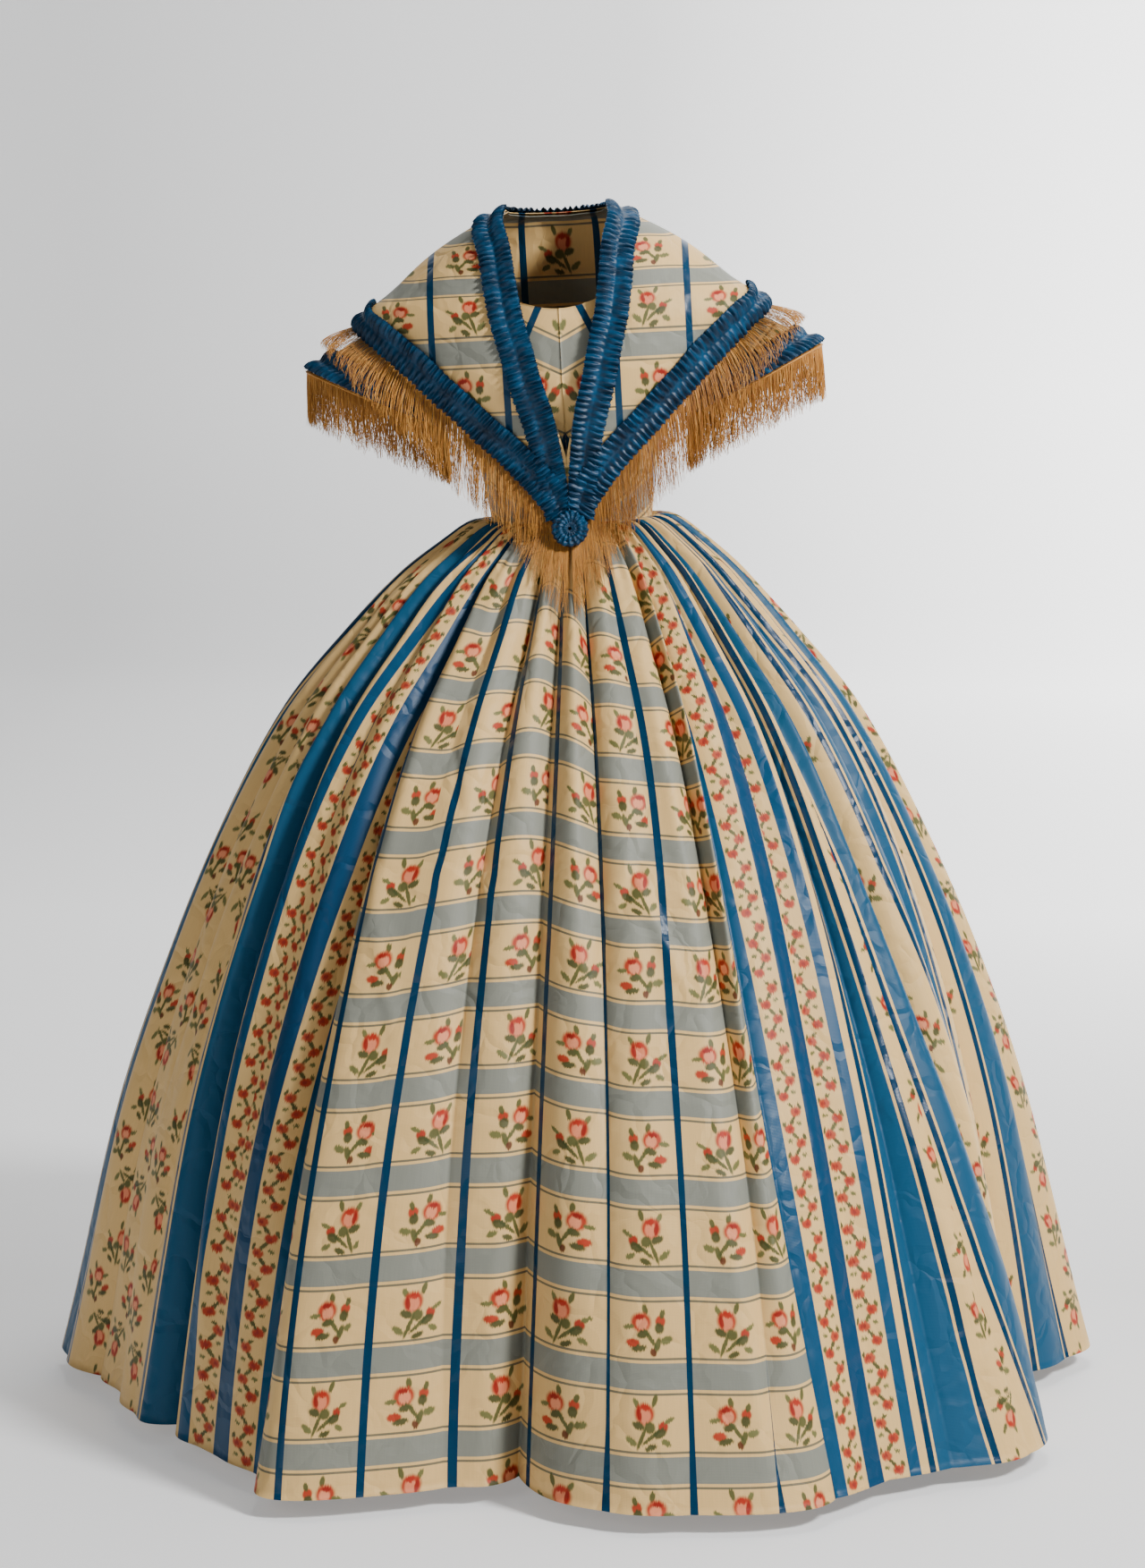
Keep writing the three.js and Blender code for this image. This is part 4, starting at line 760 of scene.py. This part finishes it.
def bertha_panel(name, start, end, columns, keep):
    stations, run = even_stations("hem", start, end, columns)
    share = np.linspace(0, 1, 44)[:, None]
    (neck_turn, neck_drop), (hem_turn, hem_drop) = edge_at("neck", stations), edge_at("hem", stations)
    turn, drop = mix(neck_turn, hem_turn, share), mix(neck_drop, hem_drop, share)
    points = cape_points(turn, drop)
    # Shallow waves where the collar is eased over the shoulder and drags towards its point.
    wave = 1.1 * np.sin(turn / 7.5 + drop / 60) * np.sin(np.pi * share)
    wave = wave + 0.8 * np.sin(drop / 31 - turn / 11) * np.sin(np.pi * share)
    points = keep(points + cape_normal(turn, drop) * wave[..., None])
    x = points[..., 0]
    across = -1.07 * x - 49 if keep is keep_back else -1.07 * np.abs(x) - 24.5
    cloth = np.stack([across, 127 - drop], -1)
    panel = shell(name, points, cloth, printed_silk, BERTHA_CLOTH)
    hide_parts(name)


bertha_panel("bertha_front_left", 0, SHOULDER, 110, keep_front)
bertha_panel("bertha_front_right", 0, SHOULDER, 110, keep_front_right)
bertha_panel("bertha_back", SHOULDER, OTHER_SHOULDER, 120, keep_back)

# ---------------------------------------------------------------- sleeves
# Short bell sleeves of the same silk, set in at the dropped armholes and left open below the band.
SLEEVE_CLOTH = 0.9
SLEEVE_RINGS = table(
    "ring x y z height depth tilt",
    (1, 204, -5, 223, 64, 56, 62), (2, 210, -4, 191, 76, 54, 50), (3, 242, -4, 171, 96, 61, 26),
)
SLEEVE_FOOT = 3


def armhole_points(angle):
    z = ARMHOLE_HEIGHT + ARMHOLE_RADIUS * np.cos(angle)
    bulge = np.abs(np.sin(angle)) ** ARMHOLE_ROUNDNESS
    azimuth = np.where(np.sin(angle) > 0, 90 - ARMHOLE_FRONT * bulge, 90 + ARMHOLE_BACK * bulge)
    return bodice_points(azimuth, z) + 1.8 * surface_normal(bodice_points, azimuth, z, 0.5)


def sleeve_ring(angle, ring):
    if ring == 0:
        return armhole_points(angle)
    _, x, y, z, height, depth, tilt = (column[ring - 1] for column in SLEEVE_RINGS.values())
    up, tilt = height * np.cos(angle), math.radians(tilt)
    return np.stack([x + up * math.cos(tilt), y - depth * np.sin(angle), z + up * math.sin(tilt)], -1)


def sleeve_points(angle, ring):
    """A place on the sleeve's straight panels between its rings, also past the open edge."""
    angle, ring = np.broadcast_arrays(np.asarray(angle, float), np.asarray(ring, float))
    rings = np.stack([sleeve_ring(angle, number) for number in range(SLEEVE_FOOT + 1)])
    first = np.clip(np.floor(ring).astype(int), 0, SLEEVE_FOOT - 1)
    start = np.take_along_axis(rings, first[None, ..., None], 0)[0]
    end = np.take_along_axis(rings, first[None, ..., None] + 1, 0)[0]
    return mix(start, end, (ring - first)[..., None])


def sleeve_normal(angle, ring):
    angle, ring = np.broadcast_arrays(np.asarray(angle, float), np.asarray(ring, float))
    round_it = sleeve_points(angle + 0.1, ring) - sleeve_points(angle - 0.1, ring)
    below, above = np.minimum(ring + 0.5, SLEEVE_FOOT), np.maximum(ring - 0.5, 0)
    return unit(np.cross(round_it, sleeve_points(angle, below) - sleeve_points(angle, above)))


def mirror(points):
    return points * np.array([-1, 1, 1])


def as_it_is(points):
    return points


for side, out, keep in (("left", 210, as_it_is), ("right", -210, mirror)):
    angle = np.linspace(0, 2 * np.pi, 120, endpoint=False)[None]
    ring = np.linspace(0, SLEEVE_FOOT, 40)[:, None]
    gather = 0.9 * np.sin(19 * angle + 0.6 * np.sin(5 * angle)) * np.exp(-ring)
    points = sleeve_points(angle, ring)
    points = points + sleeve_normal(angle, ring) * (gather * np.minimum(1, 3 * ring))[..., None]
    around = np.cumsum(np.linalg.norm(np.diff(points, axis=1, prepend=points[:, -1:]), axis=-1), 1)
    down = np.cumsum(np.linalg.norm(np.diff(points, axis=0, prepend=points[:1]), axis=-1), 0)
    cloth = np.stack([around, 260 - down], -1)
    sleeve = shell("sleeve_" + side, keep(points), cloth, printed_silk, SLEEVE_CLOTH,
                   way_round=around[:, -1], core=(out, 0))
    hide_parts("sleeve_" + side)
    area = cloth_area(np.concatenate([points[:, -1:], points], 1))
    flat_width, flat_length = np.max(around[:, -1]) * MM, np.max(down) * MM
    area = min(area, flat_width * flat_length)

# ---------------------------------------------------------------- ruched ribbon
# Teal satin ribbon with pinked edges, gathered along its middle into fine pleats and sewn down there in
# one line, so that each half stands up as a frill: at the neck, on the bertha's edge and on the sleeves.
RIBBON_CLOTH = 0.35
RIBBON_HALF_WIDTH = 22.5
RIBBON_INSET = 19
PLEAT_PITCH = 8.4
COLUMN_PITCH = 0.9
# Across a band from its stitched middle to its edge: height on a pleat's crest and in its valley, and
# how far a pleat leans over along the band.
FRILL = table(
    "across crest valley lean",
    (-1, 6.4, 1.5, 1.5), (-0.93, 7.2, 1.8, 1.3), (-0.8, 8.2, 2.4, 1.0), (-0.6, 8.4, 2.9, 0.7),
    (-0.4, 7.4, 3.0, 0.5), (-0.22, 5.2, 2.6, 0.3), (-0.08, 3.0, 2.0, 0.1), (0, 2.2, 1.7, 0),
    (0.08, 3.0, 2.0, -0.1), (0.22, 5.2, 2.6, -0.3), (0.4, 7.4, 3.0, -0.5), (0.6, 8.4, 2.9, -0.7),
    (0.8, 8.2, 2.4, -1.0), (0.93, 7.2, 1.8, -1.3), (1, 6.4, 1.5, -1.5),
)
PINK_PITCH = 3.0
PINK_DEPTH = 1.5

ribbon, tree = new_material("ruched satin ribbon")
place = add_node(tree, "UVMap", {}, uv_map="cloth")
thread_place = add_node(tree, "Mapping", {"Vector": place, "Scale": (160.0, 2600.0, 1.0)})
threads = add_node(tree, "TexNoise", {"Vector": thread_place, "Scale": 1.0, "Detail": 2.0})
# The ribbon's colour runs in random patches from dark to lighter teal; the lightest patches are painted
# highlights of the satin's shine.
painted_sheen_place = add_node(tree, "TexCoord", {}, output="Object")
painted_sheen = add_node(tree, "TexNoise", {"Vector": painted_sheen_place, "Scale": 55.0, "Detail": 3.0})
tone = add_node(tree, "ValToRGB", {"Fac": painted_sheen})
set_ramp(tone, ((25, "#011a2e"), (50, "#022f4a"), (75, "#08466a")), 100, "LINEAR")
bump = add_node(tree, "Bump", {"Height": threads, "Strength": 0.25, "Distance": 0.0004})
surface = add_node(tree, "BsdfPrincipled", {
    "Base Color": tone, "Roughness": 0.4, "Normal": bump, "IOR": 1.52, "Anisotropic": 0.4,
    "Specular IOR Level": 0.22,
})
tree.links.new(surface, tree.nodes.new("ShaderNodeOutputMaterial").inputs["Surface"])


def beside_edge(edge, station, distance):
    """Places on the cape at distances from one of its edges, walked across the band's own direction."""
    before, after = (cape_points(*edge_at(edge, station + step)) for step in (-0.02, 0.02))
    turn, drop = edge_at(edge, station)
    across = unit(np.cross(after - before, cape_normal(turn, drop)))
    other_edge = "hem" if edge == "neck" else "neck"
    opposite = cape_points(*edge_at(other_edge, station)) - cape_points(turn, drop)
    across = across * np.sign(np.sum(across * opposite, -1))[..., None]
    turn, drop = (np.broadcast_to(start, distance.shape) for start in (turn, drop))
    walk = 12
    for _ in range(walk):
        here = cape_points(turn, drop)
        round_it = (cape_points(turn + 0.3, drop) - here) / 0.3
        down = (cape_points(turn, drop + 0.3) - here) / 0.3
        move = across * (distance / walk)[..., None]
        rr, rd, dd = (np.sum(a * b, -1) for a, b in ((round_it, round_it), (round_it, down), (down, down)))
        mr, md = np.sum(move * round_it, -1), np.sum(move * down, -1)
        scale = rr * dd - rd * rd
        turn, drop = turn + (mr * dd - md * rd) / scale, drop + (md * rr - mr * rd) / scale
    return turn, drop


def ruche(name, stations, run, place_at, lift, seed, keep, closed=False, core=(0, 0)):
    """A gathered band on a surface: crests and valleys of uneven pleats with a toothed edge."""
    chance = np.random.default_rng(seed)
    count = len(stations)
    along = np.arange(count) * run / count
    pleats = max(3, round(run / PLEAT_PITCH))
    knots = np.arange(pleats + 1.0) + np.pad(chance.uniform(-0.2, 0.2, pleats - 1), 1)
    phase = np.interp(along / run * pleats, knots, np.arange(pleats + 1))
    number = np.minimum(phase.astype(int), pleats - 1)
    strength = chance.uniform(0.72, 1.05, pleats)[number]
    slant = chance.uniform(-0.5, 1.5, pleats)[number]
    across = FRILL["across"][:, None]
    lean_over = FRILL["lean"][:, None] * slant * 0.1
    pleat = (0.5 + 0.5 * np.cos(2 * np.pi * (phase + lean_over + 0.05 * np.sin(9 * across + number)))) ** 0.8
    height = mix(FRILL["valley"][:, None], FRILL["crest"][:, None] * strength, pleat)
    tooth = np.abs((along / PINK_PITCH) % 1 - 0.5) * 2 * PINK_DEPTH
    half = RIBBON_HALF_WIDTH * (0.955 + 0.04 * pleat)
    edge = np.clip((np.abs(across) - 0.85) / 0.15, 0, 1)
    distance = RIBBON_INSET - across * half + np.sign(across) * edge * tooth
    point, outward = place_at(stations, distance)
    points = keep(point + outward * (height + lift(stations))[..., None])
    cloth = np.stack(np.broadcast_arrays(along * 2.2, across * 26), -1)
    way_round = run * 2.2 if closed else None
    band = shell(name, points, cloth, ribbon, RIBBON_CLOTH, way_round=way_round, core=core)
    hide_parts(name)


def even_lift(stations):
    return 1.0 + 0 * stations


# Below this station the neck's bands leave its edge and run straight on down to the rosette, drawing
# together and passing under the outer bands: sideways and down, in millimetres.
NECK_LEAVES = 0.8
NECK_RUNS_ON = (-19, 140)


def neck_place(stations, distance):
    turn, drop = beside_edge("neck", np.maximum(stations, NECK_LEAVES), distance)
    share = np.maximum(0, 1 - stations / NECK_LEAVES)
    side = curve(CAPE["drop"], CAPE["side"], drop)
    turn = turn + np.degrees(NECK_RUNS_ON[0] * share / side)
    drop = drop + NECK_RUNS_ON[1] * share
    return cape_points(turn, drop), cape_normal(turn, drop)


def hem_place(stations, distance):
    turn, drop = beside_edge("hem", stations, distance)
    return cape_points(turn, drop), cape_normal(turn, drop)


for number, (name, edge, start, end, keep) in enumerate((
    ("ruche_neck_left", "neck", NECK_LEAVES, SHOULDER, keep_front),
    ("ruche_neck_right", "neck", NECK_LEAVES, SHOULDER, keep_front_right),
    ("ruche_neck_back", "neck", SHOULDER, OTHER_SHOULDER, keep_back),
    ("ruche_edge_left", "hem", 0, SHOULDER, keep_front),
    ("ruche_edge_right", "hem", 0, SHOULDER, keep_front_right),
    ("ruche_edge_back", "hem", SHOULDER, OTHER_SHOULDER, keep_back),
)):
    length = even_stations(edge, start, end, 9)[1]
    stations, length = even_stations(edge, start, end, round(length / COLUMN_PITCH))
    if edge == "neck" and start < SHOULDER:
        run_on = np.arange(0, NECK_LEAVES, NECK_LEAVES * COLUMN_PITCH / NECK_RUNS_ON[1])
        stations = np.append(run_on, stations)
        length += NECK_RUNS_ON[1]
    place_at = neck_place if edge == "neck" else hem_place
    ruche(name, stations, length, place_at, even_lift, 20 + number, keep)


def sleeve_place(angle, distance):
    """Places on the sleeve at distances up from its open edge, or past it."""
    angle = np.broadcast_arrays(angle, distance)[0]
    rings = np.stack([sleeve_points(angle, ring) for ring in (3.0, 2.0, 1.0)])
    first, second = np.linalg.norm(np.diff(rings, axis=0), axis=-1)
    ring = np.where(distance < first, SLEEVE_FOOT - distance / first, 2 - (distance - first) / second)
    point = sleeve_points(angle, ring)
    return point, sleeve_normal(angle, np.clip(ring, 0, SLEEVE_FOOT))


def underarm_lift(angle):
    return 1.0 + 3 * (1 - np.cos(angle)) / 2


sleeve_edge = sleeve_points(np.linspace(0, 2 * np.pi, 400), SLEEVE_FOOT)
sleeve_run = np.sum(np.linalg.norm(np.diff(sleeve_edge, axis=0), axis=-1))
for number, (side, keep) in enumerate((("left", as_it_is), ("right", mirror))):
    angles = np.linspace(0, 2 * np.pi, round(sleeve_run / COLUMN_PITCH), endpoint=False)
    ruche("ruche_sleeve_" + side, angles, sleeve_run, sleeve_place, underarm_lift, 40 + number, keep,
          closed=True, core=(225 - 450 * number, 0))

# ---------------------------------------------------------------- rosette
# The same ribbon coiled in gathered rounds into a flat rosette over the point of the V.
ROSETTE = {"z": -2, "radius": 23, "tilt": math.radians(17.6), "stand_off": 123.55, "pleats": 17}
ROSETTE_PROFILE = table(
    "out height wave",
    (0.10, 5.2, 0.0), (0.22, 7.6, 0.3), (0.34, 7.0, 0.5), (0.42, 4.8, 0.6), (0.5, 7.8, 0.8),
    (0.64, 7.9, 1.0), (0.74, 4.4, 1.0), (0.82, 6.2, 1.2), (0.93, 5.2, 1.6), (1.0, 2.4, 1.8),
    (0.97, 1.0, 1.6), (0.8, 0.4, 0.8),
)
angle = np.linspace(0, 2 * np.pi, 204, endpoint=False)[None]
wave = np.cos(ROSETTE["pleats"] * angle + 0.8 * np.sin(3 * angle) + 4 * ROSETTE_PROFILE["out"][:, None])
radius = ROSETTE["radius"] * ROSETTE_PROFILE["out"][:, None] * (1 + 0.035 * wave)
height = ROSETTE_PROFILE["height"][:, None] + ROSETTE_PROFILE["wave"][:, None] * wave * 0.8
height = np.maximum(height, 0.2)
aside, above = radius * np.sin(angle), radius * np.cos(angle)
tilt = ROSETTE["tilt"]
points = np.stack([
    aside,
    -(ROSETTE["stand_off"] + height * math.cos(tilt) - above * math.sin(tilt)),
    ROSETTE["z"] + above * math.cos(tilt) + height * math.sin(tilt),
], -1)
cloth = np.stack(np.broadcast_arrays(angle * 40, ROSETTE_PROFILE["out"][:, None] * 60), -1)
rosette = shell(
    "rosette", points, cloth, ribbon, RIBBON_CLOTH, way_round=2 * np.pi * 40, core=(0, -60))
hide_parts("rosette")

# ---------------------------------------------------------------- fringe
# Ochre silk fringe, twisted strands knotted into a narrow heading under the lower ribbon bands.
STRAND_PITCH = 1.15
BERTHA_FRINGE = table(
    "station length out",
    (0, 92, 4), (2, 92, 4), (4, 92, 8), (5, 80, 20), (6, 60, 45), (7, 52, 44), (8, 66, 50), (9, 92, 12),
    (10, 92, 6),
)
SLEEVE_FRINGE_LENGTH = 70
STRAND_STEPS = 7

fringe_silk, tree = new_material("silk fringe")
place = add_node(tree, "UVMap", {}, uv_map="cloth")
strand_place = add_node(tree, "Mapping", {"Vector": place, "Scale": (700.0, 14.0, 1.0)})
strand_tone = add_node(tree, "TexNoise", {"Vector": strand_place, "Scale": 1.0, "Detail": 2.0})
tone = add_node(tree, "ValToRGB", {"Fac": strand_tone})
set_ramp(tone, ((25, "#78481a"), (45, "#ab7230"), (60, "#cc9144"), (80, "#e6b972")), 100, "LINEAR")
twist_place = add_node(tree, "Mapping", {
    "Vector": place, "Rotation": (0.0, 0.0, 0.7), "Scale": (900.0, 900.0, 1.0),
})
twist = add_node(tree, "TexNoise", {"Vector": twist_place, "Scale": 1.0})
bump = add_node(tree, "Bump", {"Height": twist, "Strength": 0.3, "Distance": 0.0004})
surface = add_node(tree, "BsdfPrincipled", {
    "Base Color": tone, "Roughness": 0.5, "Normal": bump, "IOR": 1.5, "Specular IOR Level": 0.3,
})
tree.links.new(surface, tree.nodes.new("ShaderNodeOutputMaterial").inputs["Surface"])


def clear_of_skirt(points):
    """Strands that would touch the skirt are moved out in front of it."""
    x, y, z = np.moveaxis(points, -1, 0)
    below = np.minimum(z, 9)
    radius, front, back = (
        curve(SKIRT_RINGS["z"][2:], SKIRT_RINGS[name][2:], below) for name in ("radius", "front", "back"))
    side, reach = radius + 5, radius * np.where(y < 0, front, back) + 5
    share = np.hypot(x / side, y / reach)
    scale = np.where((z < 12) & (share < 1), 1 / np.maximum(share, 0.2), 1)
    return np.stack([x * scale, y * scale, z], -1)


def fringe(name, stations, place_at, length, out, seed, keep):
    """Two overlapping rows of thin strands under a heading, each strand hanging in its own way."""
    chance = np.random.default_rng(seed)
    points, faces, uvs = [], [], []
    count = len(stations)
    for row in range(2):
        order = stations if row == 0 else (stations[1:] + stations[:-1]) / 2
        number = len(order)
        (root,), (outward,) = place_at(order, np.full((1, number), -1.2 - 0.3 * row))
        root = root - outward * (0.9 + 1.4 * row)
        ahead = out(order) * chance.uniform(0.8, 1.04, number)[:, None]
        ahead = ahead + outward * np.array([1, 1, 0]) * (chance.normal(0, 2.5, number) + 2)[:, None]
        total = length(order) * chance.uniform(0.78, 1.03, number)
        drop = np.sqrt(np.maximum(total**2 - np.sum(ahead**2, -1), 400))
        sway = unit(np.gradient(root, axis=0)) * np.array([1, 1, 0])
        clumps = chance.normal(0, 5.5, number // 9 + 2)
        aside = np.interp(np.arange(number), 9 * np.arange(len(clumps)), clumps)
        aside = aside + chance.normal(0, 1.8, number)
        share = np.linspace(0, 1, STRAND_STEPS)[:, None, None]
        bend = share * chance.uniform(1.2, 2.6, number)[:, None] + chance.uniform(0, 1, number)[:, None]
        curl = chance.normal(0, 3, number)[:, None] * np.sin(np.pi * 2 * bend) * share
        line = root + ahead * (1 - (1 - share) ** 2) + sway * (aside[:, None] * share**2 + curl)
        line = clear_of_skirt(line - np.array([0, 0, 1]) * drop[:, None] * share)
        width = 0.62 * (1 - 0.55 * share) * chance.uniform(0.8, 1.2, number)[:, None]
        depth = unit(outward * np.array([1, 1, 0.2]))
        sides = np.stack([line - sway * width, line + sway * width, line + depth * width * 1.3], 2)
        base = sum(len(part) for part in points)
        points.append(keep(sides.reshape(-1, 3)))
        step, strand, side = np.meshgrid(
            np.arange(STRAND_STEPS - 1), np.arange(number), np.arange(3), indexing="ij")
        index = base + (step * number + strand) * 3
        near = (side + 1) % 3
        below = index + number * 3
        quad = np.stack([index + side, index + near, below + near, below + side], -1)
        faces.append(quad.reshape(-1, 4))
        u = (strand * 3.7 + row * 1.9 + side * 0.3)[..., None] + 0 * quad
        v = np.stack([step, step, step + 1, step + 1], -1) * 20.0
        uvs.append(np.stack([u, v], -1).reshape(-1, 4, 2))
    # The woven heading that the strands hang from.
    rings = []
    for distance, depth in ((-0.9, 0.6), (-4.0, 0.1), (-4.0, 2.6), (-0.9, 2.2)):
        point, outward = place_at(stations, np.full((1, count), distance))
        rings.append(point[0] - outward[0] * depth)
    base = sum(len(part) for part in points)
    points.append(keep(np.stack(rings).reshape(-1, 3)))
    column = np.arange(count - 1)
    for ring in range(4):
        here, there = base + ring * count, base + (ring + 1) % 4 * count
        quad = np.stack([here + column, here + column + 1, there + column + 1, there + column], -1)
        faces.append(quad)
        u = np.stack([column, column + 1, column + 1, column], -1) * 1.1
        v = np.array([0, 0, 3.0, 3.0]) + 0 * u
        uvs.append(np.stack([u, v], -1))
    points, faces, uvs = (np.concatenate(parts) for parts in (points, faces, uvs))
    body = join_mesh(name, points, faces, uvs, fringe_silk)
    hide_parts(name)


def bertha_fringe(stations, column):
    folded = np.where(stations > CENTRE_BACK, 2 * CENTRE_BACK - stations, stations)
    return curve(BERTHA_FRINGE["station"], BERTHA_FRINGE[column], folded)


def bertha_length(stations):
    return bertha_fringe(stations, "length")


def bertha_out(stations):
    away = cape_normal(*edge_at("hem", stations)) * np.array([1, 1, 0])
    return unit(away) * bertha_fringe(stations, "out")[:, None]


def sleeve_length(angles):
    return SLEEVE_FRINGE_LENGTH + 0 * angles


def sleeve_out(angles):
    return np.stack([0 * angles, -3 * np.sin(angles), 0 * angles], -1)


for number, (name, start, end, keep) in enumerate((
    ("fringe_front_left", 0.03, SHOULDER, keep_front),
    ("fringe_front_right", 0.03, SHOULDER, keep_front_right),
    ("fringe_back", SHOULDER, OTHER_SHOULDER, keep_back),
)):
    length = even_stations("hem", start, end, 9)[1]
    stations = even_stations("hem", start, end, round(length / STRAND_PITCH))[0]
    fringe(name, stations, hem_place, bertha_length, bertha_out, 60 + number, keep)
for number, (side, keep) in enumerate((("left", as_it_is), ("right", mirror))):
    angles = np.linspace(0, 2 * np.pi, round(sleeve_run / STRAND_PITCH))
    fringe("fringe_sleeve_" + side, angles, sleeve_place, sleeve_length, sleeve_out, 70 + number, keep)

# ---------------------------------------------------------------- studio
# A pale floor that curves up into a soft grey backdrop, lit by large soft lights and painted lighter to the
# right.
FLOOR_Z = -1.112
SWEEP = ((-10, 0), (8.8, 0), (9.2, 0.06), (9.55, 0.25), (9.8, 0.6), (9.9, 1.1), (9.9, 9))
floor_mesh = bpy.data.meshes.new("floor")
corners = [(x, y, FLOOR_Z + z) for y, z in SWEEP for x in (-12, 12)]
floor_mesh.from_pydata(corners, [], [(2 * i, 2 * i + 1, 2 * i + 3, 2 * i + 2) for i in range(len(SWEEP) - 1)])
floor_mesh.polygons.foreach_set("use_smooth", [True] * (len(SWEEP) - 1))
floor = bpy.data.objects.new("floor", floor_mesh)
floor_material, tree = new_material("pale studio paper")
place = add_node(tree, "TexCoord", {}, output="Object")
parts = add_node(tree, "SeparateXYZ", {0: place})
# Painted light: the paper glows, from grey at the left to white at the right, fading to a dim grey on the
# floor near the gown.
sideways = add_node(tree, "MapRange", {"Value": parts, "From Min": -2.2, "From Max": 2.2})
tone = add_node(tree, "ValToRGB", {"Fac": sideways})
set_ramp(tone, ((0, "#747474"), (50, "#9c9c9c"), (100, "#ffffff")), 100, "LINEAR")
behind = add_node(tree, "MapRange", {"Value": parts.node.outputs[1], "From Min": 0.4, "From Max": 3.6})
painted_light_glow = add_node(tree, "Mix", {0: behind, 6: linear("#585858"), 7: tone}, output=2, data_type="RGBA")
surface = add_node(tree, "BsdfPrincipled", {
    "Base Color": linear("#d6d6d6"), "Roughness": 0.8, "Emission Color": painted_light_glow, "Emission Strength": 3.0,
})
tree.links.new(surface, tree.nodes.new("ShaderNodeOutputMaterial").inputs["Surface"])
floor_mesh.materials.append(floor_material)
bpy.context.scene.collection.objects.link(floor)

world = bpy.data.worlds.new("studio")
bpy.context.scene.world = world
world.use_nodes = True
world.node_tree.nodes["Background"].inputs["Color"].default_value = linear("#e9edf2")
world.node_tree.nodes["Background"].inputs["Strength"].default_value = 0.14

LIGHTS = (
    ("key", (3.2, -2.3, 2.8), (0.1, 0, -0.1), 1.0, 400),
    ("fill", (-2.4, -3.8, 1.2), (0, 0, -0.4), 2.2, 30),
    ("top", (0.5, 1.0, 3.2), (0, 0, 0), 2.0, 80),
)
for name, place, target, size, power in LIGHTS:
    light = bpy.data.lights.new(name, "AREA")
    light.shape = "DISK"
    light.size = size
    light.energy = power
    lamp = bpy.data.objects.new(name, light)
    lamp.location = place
    aim = np.array(target, float) - np.array(place)
    lamp.rotation_euler = (
        math.atan2(math.hypot(aim[0], aim[1]), -aim[2]), 0, math.atan2(aim[1], aim[0]) - math.pi / 2)
    bpy.context.scene.collection.objects.link(lamp)
